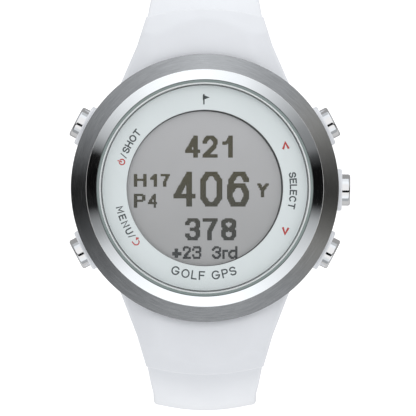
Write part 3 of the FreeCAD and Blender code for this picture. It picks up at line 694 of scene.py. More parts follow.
# Printed capitals: width for a height of one, and centre lines in a box one wide and one high.
CAPITALS = {
    "C": (0.86, [oval(45, 315)]),
    "E": (0.66, [[(1, 1), (0, 1), (0, 0), (1, 0)], [(0, 0.52), (0.85, 0.52)]]),
    "F": (0.64, [[(1, 1), (0, 1), (0, 0)], [(0, 0.52), (0.85, 0.52)]]),
    "G": (0.94, [oval(42, 350) + [(1, 0.46), (0.55, 0.46)]]),
    "H": (0.76, [[(0, 0), (0, 1)], [(1, 0), (1, 1)], [(0, 0.52), (1, 0.52)]]),
    "L": (0.58, [[(0, 1), (0, 0), (1, 0)]]),
    "M": (0.88, [[(0, 0), (0, 1), (0.5, 0.25), (1, 1), (1, 0)]]),
    "N": (0.76, [[(0, 0), (0, 1), (1, 0), (1, 1)]]),
    "O": (0.92, [oval(90, 450)]),
    "P": (0.66, [[(0, 0), (0, 1), (0.7, 1), (1, 0.87), (1, 0.6), (0.7, 0.46), (0, 0.46)]]),
    "S": (0.68, [
        [(1, 0.8), (0.78, 0.97), (0.5, 1), (0.2, 0.96), (0, 0.8), (0.02, 0.64), (0.25, 0.55)]
        + [(0.75, 0.46), (0.98, 0.36), (1, 0.2), (0.8, 0.04), (0.5, 0), (0.22, 0.03), (0, 0.2)]
    ]),
    "T": (0.74, [[(0, 1), (1, 1)], [(0.5, 1), (0.5, 0)]]),
    "U": (0.74, [[(0, 1), (0, 0.3), (0.12, 0.09), (0.35, 0), (0.65, 0), (0.88, 0.09), (1, 0.3), (1, 1)]]),
    " ": (0.25, []),
}


def lettering(text, first, last, tops_in, height, radius=LABEL_R):
    """Capitals round the dial, with the first and the last one's centres at the given angles."""
    widths = [CAPITALS[character][0] for character in text]
    centres = np.cumsum([0] + [(a + b) / 2 + LETTER_GAP for a, b in zip(widths, widths[1:])])
    letters = []
    for character, width, share in zip(text, widths, centres / centres[-1]):
        degrees = first + (last - first) * share
        place = on_dial(degrees, degrees + (90 if tops_in else -90), radius)
        size = np.array((width, 1)) * height
        lines = [(np.array(line) - 0.5) * size for line in CAPITALS[character][1]]
        if lines:
            letters.append(ink_stroke("letter", lines, LABEL_STROKE, place))
    return letters


def slash(degrees, turn):
    """The thin stroke between a label and its mark."""
    return ink_stroke("slash", [[(-0.2, -0.55), (0.2, 0.55)]], 0.16, on_dial(degrees, turn))


def make_labels():
    """What is printed in black: the buttons' names, the kind of watch, and a golf flag at 12 o'clock."""
    height = CAP_HEIGHT - LABEL_STROKE
    labels = lettering("SHOT", 154.3, 140.9, False, height)
    labels += lettering("MENU", 194.4, 209.7, True, height)
    labels += lettering("SELECT", 8.4, -11.7, False, height, 15.2)
    labels += lettering("GOLF GPS", 250.5, 288.6, True, 1.3, 15.05)
    labels += [slash(158.4, 68.4), slash(213.4, -56.6)]
    staff = [[(-0.35, -0.75), (-0.35, 0.8)]]
    flag = [(-0.35, 16.0), (0.85, 15.55), (-0.35, 15.1)]
    labels += [
        ink_stroke("staff", staff, LABEL_STROKE, on_dial(89.3, 0, 15.2)),
        prism("flag", flag, PRINT_Z - INK, PRINT_Z + INK),
    ]
    piece(joined("dial_labels", labels), "case", PRINT)


def make_marks():
    """What is printed in red: a power sign, a return arrow and two chevrons."""
    power = [arc(0.46, 125, 415), [(0, 0.1), (0, 0.7)]]
    back = [
        [(-0.45, 0.5), (0.12, 0.5)] + arc(0.5, 90, -90)[1:] + [(-0.42, -0.5)],
        [(-0.28, 0.7), (-0.5, 0.5), (-0.28, 0.3)],
    ]
    chevron = [[(-0.42, -0.45), (0, 0.5), (0.42, -0.45)]]
    marks = [
        ink_stroke("mark", power, MARK_STROKE, on_dial(162.6, 72, 14.9)),
        ink_stroke("mark", back, MARK_STROKE, on_dial(218.2, -50)),
        ink_stroke("mark", chevron, CHEVRON_STROKE, on_dial(27.8, 6, 15.66)),
        ink_stroke("mark", chevron, CHEVRON_STROKE, on_dial(-28.2, 174, 15.67)),
    ]
    piece(joined("dial_marks", marks), "case", PRINT_RED)


# ---- Display


def make_lcd():
    """A square panel with round corners, and the dark border that the dial's opening just shows, widest at
    the upper right as painted shadow.
    """
    half, corner = 13.5, 16.4
    turn_in = math.degrees(math.acos(half / corner))
    outline = []
    for quarter in range(0, 360, 90):
        outline += arc(corner, quarter + turn_in, quarter + 90 - turn_in, 9)
    panel = soften(prism("display", outline, 8.9, LCD_TOP_Z), 0.12, 2, 40)
    piece(panel, "case", LCD, ["lcd_module"])
    inner, outer = DIAL_OPENING_R - 0.17, 14.6
    low, high = LCD_TOP_Z - 0.02, LCD_TOP_Z + 0.06
    rim = rounded([(inner, low, 0), (outer, low, 0), (outer, high, 0), (inner, high, 0.02)])
    # Set towards the lower left, the border shows a wider dark band at the upper right: painted shadow of the
    # dial's inner edge on the display.
    painted_shadow_shift = Matrix.Translation((-0.13, -0.09, 0))
    piece(turned("display_border_and_painted_shadow", rim, FINE, painted_shadow_shift), "case", BLACK_PLASTIC)


# Centre lines of each character, in a box one wide and one high.
STROKES = {
    "0": [
        [(0, 0.25), (0, 0.75), (0.25, 1), (0.75, 1), (1, 0.75), (1, 0.25), (0.75, 0), (0.25, 0), (0, 0.25)],
    ],
    "1": [[(0, 0.7), (0.5, 0.78), (1, 1), (1, 0)]],
    "2": [[(0, 0.76), (0.08, 0.9), (0.3, 1), (0.7, 1), (1, 0.84), (1, 0.66), (0.85, 0.5), (0, 0), (1, 0)]],
    "3": [
        [(0, 0.82), (0.25, 1), (0.75, 1), (1, 0.85), (1, 0.66), (0.75, 0.53), (0.45, 0.53)],
        [(0.75, 0.53), (1, 0.38), (1, 0.18), (0.75, 0), (0.25, 0), (0, 0.2)],
    ],
    "4": [[(0.75, 0), (0.75, 1), (0, 0.26), (1, 0.26)]],
    "6": [
        [(1, 0.8), (0.75, 1), (0.35, 1), (0.05, 0.78), (0, 0.5), (0, 0.25), (0.25, 0), (0.75, 0), (1, 0.22)],
        [(1, 0.22), (1, 0.4), (0.75, 0.6), (0.3, 0.6), (0, 0.4)],
    ],
    "7": [[(0, 1), (1, 1), (0.5, 0.35), (0.4, 0)]],
    "8": [
        [(0.3, 0.53), (0.04, 0.66), (0.04, 0.86), (0.28, 1)]
        + [(0.72, 1), (0.96, 0.86), (0.96, 0.66), (0.7, 0.53)],
        [(0.3, 0.53), (0, 0.38), (0, 0.18), (0.26, 0)]
        + [(0.74, 0), (1, 0.18), (1, 0.38), (0.7, 0.53), (0.3, 0.53)],
    ],
    "H": [[(0, 0), (0, 1)], [(1, 0), (1, 1)], [(0, 0.5), (1, 0.5)]],
    "P": [[(0, 0), (0, 1), (0.75, 1), (1, 0.86), (1, 0.6), (0.75, 0.46), (0, 0.46)]],
    "Y": [[(0, 1), (0.5, 0.5), (1, 1)], [(0.5, 0.5), (0.5, 0)]],
    "+": [[(0, 0.5), (1, 0.5)], [(0.5, 0), (0.5, 1)]],
    "r": [[(0, 0), (0, 0.62)], [(0, 0.45), (0.4, 0.64), (1, 0.64)]],
    "d": [
        [(1, 0), (1, 1)],
        [(1, 0.5), (0.6, 0.66), (0.3, 0.62), (0, 0.45), (0, 0.18), (0.3, 0), (1, 0.1)],
    ],
}

# What the display shows, in dots: the top and bottom of a row, how wide its upright and its level
# strokes are, and each character with its left and right.
SCREEN = [
    (45, 26, 4, 3, ("4", -17, -4), ("2", -2, 11), ("1", 15, 24)),
    (14, -16, 5, 4, ("4", -27, -8), ("0", -4, 15), ("6", 19, 38)),
    (12, 1, 3, 2, ("H", -61, -50), ("1", -47, -41), ("7", -38, -30)),
    (-5, -17, 3, 2, ("P", -61, -51)),
    (-5, -17, 2, 2, ("4", -49, -41)),
    (4, -8, 3, 2, ("Y", 45, 55)),
    (-26, -45, 4, 3, ("3", -17, -4), ("7", -2, 11), ("8", 14, 27)),
    (-52, -60, 3, 3, ("+", -28, -20)),
    (-50, -61, 2, 2, ("2", -19, -12), ("3", -11, -3), ("3", 6, 14), ("r", 15, 20), ("d", 20, 28)),
]


def distance_to(points, start, end):
    """Distance of each point from a straight piece of line, by a norm that leaves square ends."""
    way = end - start
    share = np.clip(((points - start) @ way) / max(way @ way, 1e-12), 0, 1)
    return (np.abs(points - start - share[:, None] * way) ** 5).sum(axis=1) ** 0.2


def lit_dots(character, left, right, top, bottom, stroke):
    """Centres, in millimetres, of the display's dots that a character darkens.

    Its lines run between whole dots, so that every stroke is as wide as it says.
    """
    centres = np.array([(c + 0.5, r + 0.5) for c in range(left, right) for r in range(bottom, top)])
    half_stroke = np.array(stroke) / 2
    corner = np.array((left, bottom))
    size = np.array((right - left, top - bottom)) - 2 * half_stroke
    nearest = np.full(len(centres), np.inf)
    for line in STROKES[character]:
        path = half_stroke + np.round(corner + np.array(line, float) * size)
        for start, end in zip(path, path[1:]):
            far = distance_to(centres / half_stroke, start / half_stroke, end / half_stroke)
            nearest = np.minimum(nearest, far)
    return centres[nearest < 1] * LCD_PITCH


def make_digits():
    """Every lit dot as a thin tile on the display."""
    half = LCD_DOT / 2
    square = [(-half, -half), (half, -half), (half, half), (-half, half)]
    tile = [(x, y, LCD_TOP_Z + lift) for lift in (-0.005, 0.012) for x, y in square]
    dots = []
    for top, bottom, upright, level, *characters in SCREEN:
        for character, left, right in characters:
            dots.extend(lit_dots(character, left, right, top, bottom, (upright, level)))
    points = [(x + a, y + b, z) for x, y in dots for a, b, z in tile]
    sides = [(0, 3, 2, 1), (4, 5, 6, 7), (0, 1, 5, 4), (1, 2, 6, 5), (2, 3, 7, 6), (3, 0, 4, 7)]
    faces = [tuple(first + v for v in side) for first in range(0, len(points), 8) for side in sides]
    piece(mesh_object("display_digits", points, faces), "case", LCD_INK)


# ---- Buttons


def make_button(name, degrees):
    """A cap with a pocket for its spring, on a stem with a groove for its clip."""
    face, skirt, pocket = 25.0, 22.2, 23.4
    stem_r, stem_end = 1.0, 16.75
    groove_r, groove_low, groove_high = 0.75, 16.9, 17.25
    profile = rounded([
        (0, face, 0), (2.7, face, 0.36), (2.7, skirt, 0.08),
        (2.1, skirt, 0.05), (2.1, pocket, 0.05), (1.3, pocket, 0.05), (1.3, skirt, 0.05),
        (stem_r, skirt, 0), (stem_r, groove_high, 0), (groove_r, groove_high, 0),
        (groove_r, groove_low, 0), (stem_r, groove_low, 0), (stem_r, stem_end, 0.1), (0, stem_end, 0),
    ], 6)
    cap = turned(f"push_{name}", profile, 96, along_spoke(degrees))
    piece(cap, f"button_{name}", STEEL, [f"button_{name}"], sharp=30)


def make_spring(name, degrees):
    """A coil in the button's bore, from near the bore's floor up into the cap's pocket."""
    turns, wire, mean = 4, 0.12, 1.65
    start, end = BORE_FLOOR_R + 0.15, 23.25
    steps, sides = 200, 10
    points = []
    for share in np.linspace(0, 1, steps):
        angle = 2 * math.pi * turns * share
        for around in np.radians(np.arange(0, 360, 360 / sides)):
            reach = mean + wire * math.cos(around)
            height = start + (end - start) * share + wire * math.sin(around)
            points.append((reach * math.cos(angle), reach * math.sin(angle), height))
    place = along_spoke(degrees)
    faces = grid_faces(steps, sides, False, True)
    faces += [tuple(range(sides)), tuple((steps - 1) * sides + side for side in range(sides))]
    coil = mesh_object(f"return_spring_{name}", moved(points, place), faces)
    piece(coil, "case", SPRING, [f"button_spring_{name}"], sharp=60)
    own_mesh(coil)


# ---- Case back, screws and contacts


def spots(points):
    """A place for a lathe at each (x, y)."""
    return [Matrix.Translation((x, y, 0)) for x, y in points]


SCREW_SPOTS = spots(arc(SCREW_R, 45, 315, 4))


def stadium(half_x, half_y, extra=0.0):
    """A slot outline with round ends, at the contacts' place."""
    straight = half_x - half_y
    right = [(straight + x, y) for x, y in arc(half_y + extra, -90, 90, 13)]
    return [(x, y + CONTACT_Y) for x, y in right + [(-x, -y) for x, y in right]]


def make_case_back():
    """A disc with a turned groove, a seat for its gasket, a slot for the contacts and four screw holes."""
    top, groove, seat = CASE_BACK_TOP_Z, 0.12, 1.05
    profile = rounded([
        (0, 0, 0), (14.4, 0, 0.06), (14.55, groove, 0.03), (14.85, groove, 0.03), (15.0, 0, 0.06),
        (CASE_BACK_R - 0.45, 0, 0.15), (CASE_BACK_R, 0.45, 0.15), (CASE_BACK_R, top, 0.05),
        (18.0, top, 0), (18.0, seat, 0), (17.4, seat, 0), (17.4, top, 0), (0, top, 0),
    ])
    plate = turned("rear_cover", profile)
    slot = prism("slot", stadium(6.4, 1.6, 0.03), -1, 3)
    hole = [(0, -1), (1.4, -1), (1.15, 0.12), (1.15, 0.7), (0.65, 0.7), (0.65, 3), (0, 3)]
    holes = [turned("pocket", hole, 40, spot) for spot in SCREW_SPOTS]
    combine(plate, [slot] + holes, "DIFFERENCE")
    piece(plate, "case", BACK_STEEL, ["case_back"], sharp=30)


def screw(spot, head_r, shank_r, z_head, z_shoulder, z_end, cross):
    """A screw seen from below, with a slot or a cross in its head."""
    head = [(0, z_head, 0), (head_r, z_head, 0.12), (head_r, z_shoulder, 0)]
    shank = [(shank_r, z_shoulder, 0), (shank_r, z_end, 0.15), (0, z_end, 0)]
    body = turned("screw", rounded(head + shank, 4), 40, spot)
    bar = rounded(box_outline(0.72, -0.14, 0.14, 0.1), 3)
    turns = [Matrix.Rotation(math.radians(a), 4, "Z") for a in ((20, 110) if cross else (20,))]
    cuts = [prism("cut", bar, z_head - 1, z_head + 0.32, spot @ turn) for turn in turns]
    return combine(body, cuts, "DIFFERENCE")


def make_screws():
    """Four screws in the case back, and four that hold the board."""
    back = {"head_r": 1.05, "shank_r": 0.6, "z_head": 0.05, "z_shoulder": 0.7, "z_end": 4.6, "cross": True}
    board = {"head_r": 0.9, "shank_r": 0.45, "z_head": 7.0, "z_shoulder": 7.6, "z_end": 9.8, "cross": False}
    backs = [screw(spot, **back) for spot in SCREW_SPOTS]
    piece(joined("rear_screws", backs), "case", STEEL, ["case_back_screws"])
    corners = [(x, y) for x in (-5.1, 5.1) for y in (-14.0, 14.0)]
    boards = [screw(spot, **board) for spot in spots(corners)]
    piece(joined("inner_screws", boards), "case", STEEL, ["board_screws"])


def make_contacts():
    """A black block in the case back's slot, with four domed gold pins."""
    top = CASE_BACK_TOP_Z
    block = soften(prism("contact_holder", stadium(6.4, 1.6), 0.05, top), 0.12, 2, 50)
    places = spots([(CONTACT_PITCH * step, CONTACT_Y) for step in (-1.5, -0.5, 0.5, 1.5)])
    hole = [(0, -1), (0.85, -1), (0.75, 0.12), (0.75, 3), (0, 3)]
    combine(block, [turned("cut", hole, 40, place) for place in places], "DIFFERENCE")
    piece(block, "case", BLACK_PLASTIC, ["charge_contact_block"])
    pin = rounded([(0, 0.1, 0), (0.5, 0.1, 0.3), (0.74, 0.32, 0.1), (0.74, top, 0), (0, top, 0)])
    pins = [turned("pin", pin, 40, place) for place in places]
    piece(joined("contact_pins", pins), "case", GOLD, ["charge_contacts"])


# ---- Strap


class Half:
    """What differs between the two strap halves."""

    def __init__(self, name, reach, kink):
        self.name = name
        self.reach = reach
        self.kink = kink
        self.facing = Matrix() if name == "upper" else Matrix.Rotation(math.pi, 4, "Z")

    def half_width(self, u):
        """Half the shoulder's width at a distance from the dial's centre."""
        stops = (17.0, self.kink, self.reach - 1.4, self.reach + 3)
        return np.interp(u, stops, (14.9, 11.65, 10.1, 8.6))


UPPER = Half("upper", 30.8, 24.5)
LOWER = Half("lower", 32.1, 25.4)


def smooth_min(a, b, width):
    """The lower of two heights, with the crease between them rounded over a width."""
    mix = np.clip(0.5 + 0.5 * (b - a) / width, 0, 1)
    return b + (a - b) * mix - width * mix * (1 - mix)


def rounding(distance, radius):
    """How far a surface drops at a distance from an edge of that radius."""
    near = np.clip(1 - distance / radius, 0, 1)
    return radius * (1 - np.sqrt(1 - near**2))


def shoulder_top(half, x, u):
    """Height of the shoulder: a plateau, sides that fall away beyond two creases, and a crescent facet."""
    level, droop, flat_u = 10.8, 1.25, 22.5
    crease_x, crease_lean = 8.8, 0.2
    fade_end, fade_length = half.reach - 2.0, 3.0
    side_slope, groove_depth, groove_width = 0.45, 0.13, 0.32
    facet_r, facet_slope, facet_blend = 17.1, 0.6, 0.18
    fall = np.clip((u - flat_u) / (half.reach - flat_u), 0, 1)
    plateau = level - droop * fall**1.8
    beyond = np.abs(x) - crease_x + crease_lean * (u - SHOULDER_U)
    fade = np.clip((fade_end - u) / fade_length, 0, 1)
    fade = fade * fade * (3 - 2 * fade)
    side = side_slope * 0.5 * (beyond + np.sqrt(beyond**2 + 0.08)) - 0.02
    groove = groove_depth * np.exp(-((beyond / groove_width) ** 2))
    surface = plateau - side * (0.35 + 0.65 * fade) - groove * fade
    past = np.hypot(x, u - (half.reach - droop - facet_r)) - facet_r
    return smooth_min(surface, level - 0.86 * droop - facet_slope * past, facet_blend)


def shoulder_inner(x, z):
    """Where the shoulder meets the case: it clears the case's side as it swings."""
    clear_r, lean = CASE_R + 0.6, 0.247
    return np.sqrt((clear_r + np.maximum(0, 8.5 - z) * lean) ** 2 - x**2)


def shoulder_outer(half, x, z):
    """Where the shoulder steps down to the strap: bowed outwards, and undercut below."""
    bow_r, undercut = 37.0, 0.82
    return half.reach - x**2 / (2 * bow_r) - np.maximum(0, 6.0 - z) * undercut


def shoulder_mesh(half):
    """A closed shell: rows run from the case outwards, columns run round the section.

    Each point's height and place depend on each other, so they are found by repeating.
    """
    top_radius, bottom_radius, lip = 0.7, 0.5, 0.25
    across = np.sin(np.radians(np.linspace(-90, 90, 33)))
    bends = [22.5, 45, 67.5, 90]
    order = [(-1, a) for a in reversed(bends)] + [(f, 0) for f in across] + [(1, a) for a in bends]
    columns = [(True, share, bend, top_radius) for share, bend in order]
    columns += [(False, share, bend, bottom_radius) for share, bend in reversed(order)]
    stations = np.concatenate([np.linspace(0, 0.94, 44), np.linspace(0.95, 1, 9)])
    points = np.zeros((len(stations), len(columns), 3))
    for column, (is_top, share, degrees, radius) in enumerate(columns):
        bend = math.radians(degrees)
        u = np.interp(stations, (0, 1), (SHOULDER_U, half.reach))
        z = np.full(len(stations), 9.0 if is_top else 4.2)
        for _ in range(30):
            x = share * (half.half_width(u) - radius) + np.sign(share) * radius * math.sin(bend)
            inner, outer = shoulder_inner(x, z), shoulder_outer(half, x, z)
            u = inner * (1 - stations) + outer * stations
            turn_down = radius * (1 - math.cos(bend))
            if is_top:
                rim = rounding(outer - u, END_RIM) + rounding(u - inner, lip)
                z = shoulder_top(half, x, u) - rim - turn_down
            else:
                z = np.interp(u, (24.8, half.reach - 1.8), (4.4, 3.8)) + turn_down
        points[:, column] = np.stack([x, u, z], axis=1)
    rows, count = points.shape[:2]
    faces = grid_faces(rows, count, False, True) + end_faces(rows, count)
    return mesh_object(f"half_{half.name}", moved(points.reshape(-1, 3), half.facing), faces)


def walk(half, moves):
    """Centre-line stations (u, z, heading, travelled) of a strap: out of the shoulder, down and round.

    A run has its length, and a bend its radius and its turn in degrees.
    """
    lead, root_u, step_length = 2.4, half.reach - 0.8, 0.8
    first_r = (VERTICAL_U - root_u) / (1 + math.sin(HEADING))
    u, z = root_u - lead * math.cos(HEADING), ROOT_Z - lead * math.sin(HEADING)
    heading, gone = HEADING, 0.0
    stations = [(u, z, heading, gone)]
    for kind, size, *turn in [("run", lead), ("bend", first_r, 90 + math.degrees(HEADING))] + moves:
        length = size if kind == "run" else size * math.radians(turn[0])
        steps = max(2, round(length / step_length))
        step = length / steps
        for _ in range(steps):
            after = heading - (step / size if kind == "bend" else 0)
            middle = (heading + after) / 2
            chord = step if kind == "run" else 2 * size * math.sin(step / size / 2)
            u += chord * math.cos(middle)
            z += chord * math.sin(middle)
            heading, gone = after, gone + step
            stations.append((u, z, heading, gone))
    return stations


def strip_section(width, crown):
    """A strap's section: (x, offset) points, crowned outside and flat inside, with rounded edges."""
    radius = min(0.55, 0.9 * width)
    across = [-width + radius - radius * math.sin(a) for a in np.radians((90, 67.5, 45, 22.5))]
    across += list(np.linspace(-width + radius, width - radius, 21))
    across += [-x for x in reversed(across[:4])]
    outer, inner = [], []
    for x in across:
        drop = rounding(min(radius, width - abs(x)), radius)
        outer.append((x, STRAP_THICK / 2 - crown * (x / width) ** 2 - drop))
        inner.append((x, -STRAP_THICK / 2 + 0.7 * drop))
    return outer + inner[::-1]


def strip_mesh(half, stations, tip=None):
    """The strap beyond its shoulder, with a round tip of that radius if it has one."""
    total = stations[-1][3]
    points = []
    for u, z, heading, gone in stations:
        width = float(np.interp(gone, (0, 10), (NECK_HALF_WIDTH, STRAP_HALF_WIDTH)))
        left = total - gone
        if tip and left < tip:
            width = max(0.25, math.sqrt(max(0, tip**2 - (tip - left) ** 2)))
        crown = float(np.interp(gone, (0, 14, 40), (1.3, 1.3, 0.35))) * (width / STRAP_HALF_WIDTH) ** 2
        section = strip_section(width, crown)
        points += [(x, u - off * math.sin(heading), z + off * math.cos(heading)) for x, off in section]
    rows, count = len(stations), len(section)
    faces = grid_faces(rows, count, False, True) + end_faces(rows, count)
    return mesh_object("strip", moved(points, half.facing), faces)


def ear_room(half, side):
    """Room in the shoulder for one of the case's ears."""
    outline = [(15, 3), (24.4, 3)] + round_the_pin(2, -78, 91) + [(15, 10)]
    low, high = sorted((side * 7.2, side * 9.8))
    return prism("room", outline, low, high, half.facing @ SIDEWAYS)


def rod(name, radius, half_length, y, z, edge=0.0):
    """A round bar along X, whose ends are eased by a radius."""
    side = [(radius, -half_length, edge), (radius, half_length, edge)]
    profile = rounded([(0, -half_length, 0)] + side + [(0, half_length, 0)], 4)
    return turned(name, profile, 48, along_x(y, z))


def hole_cutter(half, station):
    """A through hole whose rims are eased on both faces."""
    u, z, heading, _ = station
    profile = [(0, -3), (1.5, -3), (1.5, -1.5), (1.1, -1.1), (1.1, 1.05), (1.5, 1.45), (1.5, 3), (0, 3)]
    tilt = Matrix.Translation((0, u, z)) @ Matrix.Rotation(heading, 4, "X")
    return turned("hole", profile, 40, half.facing @ tilt)


def station_at(stations, travelled):
    """The station that is some way along a strap."""
    for before, after in zip(stations, stations[1:]):
        if before[3] <= travelled <= after[3]:
            share = (travelled - before[3]) / (after[3] - before[3])
            return tuple(b + (a - b) * share for b, a in zip(before, after))
    raise ValueError("beyond the strap's end")


def strap_body(half, stations, tip=None):
    """Shoulder and strip in one, with room for the case's ears and a bore for the spring bar."""
    body = combine(shoulder_mesh(half), [strip_mesh(half, stations, tip)], "UNION")
    y = PIN_U if half.name == "upper" else -PIN_U
    cuts = [ear_room(half, -1), ear_room(half, 1), rod("bore", PIN_BORE_R, 7.5, y, PIN_Z)]
    return combine(body, cuts, "DIFFERENCE")


def make_upper_strap():
    """The half with the buckle, whose end wraps the buckle's pin and has a window for the tongue."""
    bend_r, web_y, window_half = 18.0, -0.5, 1.5
    stations = walk(UPPER, [("bend", bend_r, 90.0), ("run", VERTICAL_U - bend_r + 1.0)])
    body = strap_body(UPPER, stations)
    barrel = rod("barrel", 1.7, STRAP_HALF_WIDTH, BUCKLE_Y, BUCKLE_Z, 0.4)
    low, high = BUCKLE_Z - STRAP_THICK / 2, BUCKLE_Z + STRAP_THICK / 2
    web = [(BUCKLE_Y, low), (web_y, low), (web_y, high), (BUCKLE_Y, high)]
    web_half = STRAP_HALF_WIDTH - 0.45
    combine(body, [barrel, prism("web", web, -web_half, web_half, SIDEWAYS)], "UNION")
    window = rounded(box_outline(window_half, BUCKLE_Y - 3, BUCKLE_Y + 3.4, 0, 0.7))
    window = prism("window", window, BUCKLE_Z - 3, BUCKLE_Z + 3)
    combine(body, [window, rod("bore", PIN_BORE_R, 12, BUCKLE_Y, BUCKLE_Z)], "DIFFERENCE")
    piece(body, "strap_upper", WHITE, ["strap_upper"], sharp=38)


def make_lower_strap():
    """The half with the holes, and a round tip."""
    bend_r, tail, first_hole, holes = 34.6, 34.0, 16.0, 9
    stations = walk(LOWER, [("run", 6.0), ("bend", bend_r, 90.0), ("run", tail + VERTICAL_U - bend_r)])
    body = strap_body(LOWER, stations, tip=STRAP_HALF_WIDTH)
    start = stations[-1][3] - first_hole
    places = [station_at(stations, start - HOLE_PITCH * index) for index in range(holes)]
    combine(body, [hole_cutter(LOWER, place) for place in places], "DIFFERENCE")
    piece(body, "strap_lower", WHITE, ["strap_lower"], sharp=38)


# ---- Keepers and buckle


def keeper(name, body, node, low, high, side_gap, top_gap):
    """A flat loop round the strap from low to high in Y, with room under it for the other half's tail."""
    wall, tail_room = 1.2, 2.9
    inner_x = STRAP_HALF_WIDTH + side_gap
    top = BUCKLE_Z + STRAP_THICK / 2 + top_gap
    bottom = BUCKLE_Z - STRAP_THICK / 2 - tail_room
    outside = rounded(box_outline(inner_x + wall, bottom - wall, top + wall, 1.5), 6)
    inside = rounded(box_outline(inner_x, bottom, top, 0.35), 6)
    band = soften(hoop(name, outside, inside, low, high, UPRIGHT), 0.3, 3, 40)
    piece(band, body, WHITE, [node])


def make_buckle():
    """A frame open at its pin, with a notch where the tongue rests, and the pin."""
    inner, outer, half_thick = 9.25, 11.2, 1.1
    bottom, top = BUCKLE_Z - 12.0, BUCKLE_Z + 1.4
    bar_top = bottom + 2.2
    arms = [(outer, top), (inner, top), (inner, bar_top), (-inner, bar_top), (-inner, top), (-outer, top)]
    outline = [(-outer, bottom, 2.2), (outer, bottom, 2.2)] + [(x, z, 0.9) for x, z in arms]
    bow = prism("buckle_bow", rounded(outline, 6), BUCKLE_Y - half_thick, BUCKLE_Y + half_thick, UPRIGHT)
    notch = rounded(box_outline(1.3, bottom - 1, bottom + 3))
    combine(bow, [prism("notch", notch, BUCKLE_Y + 0.35, BUCKLE_Y + 3, UPRIGHT)], "DIFFERENCE")
    soften(bow, 0.3, 3, 40)
    piece(bow, "buckle", BUCKLE_STEEL, ["buckle_frame"])
    axle = rod("buckle_axle", 0.75, 10.35, BUCKLE_Y, BUCKLE_Z, 0.15)
    piece(axle, "buckle", SATIN, ["buckle_pin"])


def make_tongue():
    """An eye on the buckle's pin and a blade that tapers to its tip."""
    half = 1.1
    tip_z = BUCKLE_Z - 12.4
    eye = rod("tongue", 1.45, half, BUCKLE_Y, BUCKLE_Z, 0.2)
    back = [(-0.1, BUCKLE_Z + 0.6, 0), (-0.1, BUCKLE_Z - 1.0, 0.3), (0.65, tip_z, 0.3)]
    front = [(1.45, tip_z, 0.35), (1.35, BUCKLE_Z - 0.4, 0.3), (0.9, BUCKLE_Z + 0.6, 0)]
    blade = rounded([(BUCKLE_Y + y, z, radius) for y, z, radius in back + front])
    combine(eye, [prism("blade", blade, -half, half, SIDEWAYS)], "UNION")
    combine(eye, [rod("bore", PIN_BORE_R, 3, BUCKLE_Y, BUCKLE_Z)], "DIFFERENCE")
    soften(eye, 0.14, 2, 45)
    piece(eye, "tongue", BUCKLE_STEEL, ["buckle_tongue"])


def make_spring_bar(name, node, y):
    """A bar with a thinner tip at each end."""
    bar_r, tip_r, bar_end, tip_end = 0.75, 0.45, 7.35, 8.8
    right = [(bar_r, bar_end, 0.08), (tip_r, bar_end, 0), (tip_r, tip_end, 0.12), (0, tip_end, 0)]
    left = [(radius, -along, edge) for radius, along, edge in reversed(right)]
    bar = turned(name, rounded(left + right, 4), 40, along_x(y, PIN_Z))
    piece(bar, "case", SATIN, [node])


# ---- CAD nodes that stay, with better finishes


CARRIED = {
    "lcd_frame": FRAME_WHITE, "main_board": BOARD, "gps_antenna": CERAMIC, "battery": FOIL,
    "vibration_motor": SATIN, "case_back_gasket": BLACK_SEAL, "button_sleeves": SATIN,
    "button_seals": BLACK_SEAL, "tactile_switches": BLACK_PLASTIC,
}


def finish_carried():
    """Gives the inner CAD pieces that stay their materials."""
    names = dict(CARRIED)
    names.update({f"button_clip_{name}": SPRING for name in BUTTONS})
    for name, material in names.items():
        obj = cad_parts[name]
        obj.data.materials.clear()
        obj.data.materials.append(material)


# ---- Studio


# The lower strap swings down to z = -60, and the floor stays clear of it.
FLOOR_Z = -66.0


def make_floor():
    """A pale floor, white to the camera, a grey card in reflections, and clear from underneath."""
    bpy.ops.mesh.primitive_plane_add(size=30, location=(0, 0, FLOOR_Z * MM))
    floor = bpy.context.object
    floor.name = "floor"
    shader = Shader("floor")
    shader.tree.nodes.remove(shader.surface)
    rays = shader.add("ShaderNodeLightPath").outputs
    place = shader.add("ShaderNodeNewGeometry").outputs
    matt = shader.add("ShaderNodeBsdfDiffuse", {"Color": (0.8, 0.8, 0.8, 1)})
    glow = shader.add("ShaderNodeEmission", {"Strength": 0.5})
    seen = shader.add("ShaderNodeAddShader", {0: matt.outputs[0], 1: glow.outputs[0]})
    bounce = shader.add("ShaderNodeEmission", {"Strength": 1.0})
    _, y, _ = shader.split(place["Position"])
    card = shader.add("ShaderNodeEmission", {"Strength": shader.remap(y, -0.02, -0.08, 0.36, 0.64)})
    unseen = shader.blend(rays["Is Glossy Ray"], bounce, card)
    both = shader.blend(rays["Is Camera Ray"], unseen, seen)
    one_sided = shader.blend(place["Backfacing"], both, shader.add("ShaderNodeBsdfTransparent"))
    shader.fill(shader.output, {"Surface": one_sided.outputs[0]})
    floor.data.materials.append(shader.material)


# Brightness of the studio's walls by angle from 3 o'clock: above about 25 degrees of elevation, and below.
UPPER_WALL = {
    0: 0.003, 10: 0.01, 16: 0.22, 24: 0.34, 31: 0.60, 50: 0.98, 75: 1.12, 105: 1.12,
    135: 0.82, 152: 0.60, 163: 0.38, 171: 0.005, 190: 0.004, 196: 0.06, 200: 0.19,
    212: 0.27, 228: 0.54, 250: 0.95, 275: 1.14, 300: 1.0, 318: 0.74, 333: 0.46, 339: 0.22,
    343: 0.003,
}
LOWER_WALL = {
    0: 0.075, 15: 0.19, 30: 0.45, 45: 0.5, 62: 0.62, 75: 0.84, 90: 1.0, 105: 0.76,
    120: 0.58, 137: 0.48, 152: 0.36, 166: 0.17, 177: 0.02, 188: 0.025, 203: 0.13, 225: 0.29,
    255: 0.44, 282: 0.46, 315: 0.38, 332: 0.42, 345: 0.22, 354: 0.09,
}


# Colour casts of the studio's walls.
COOL = (0.955, 0.995, 1.03)
WARM = (1.02, 1.01, 0.95)


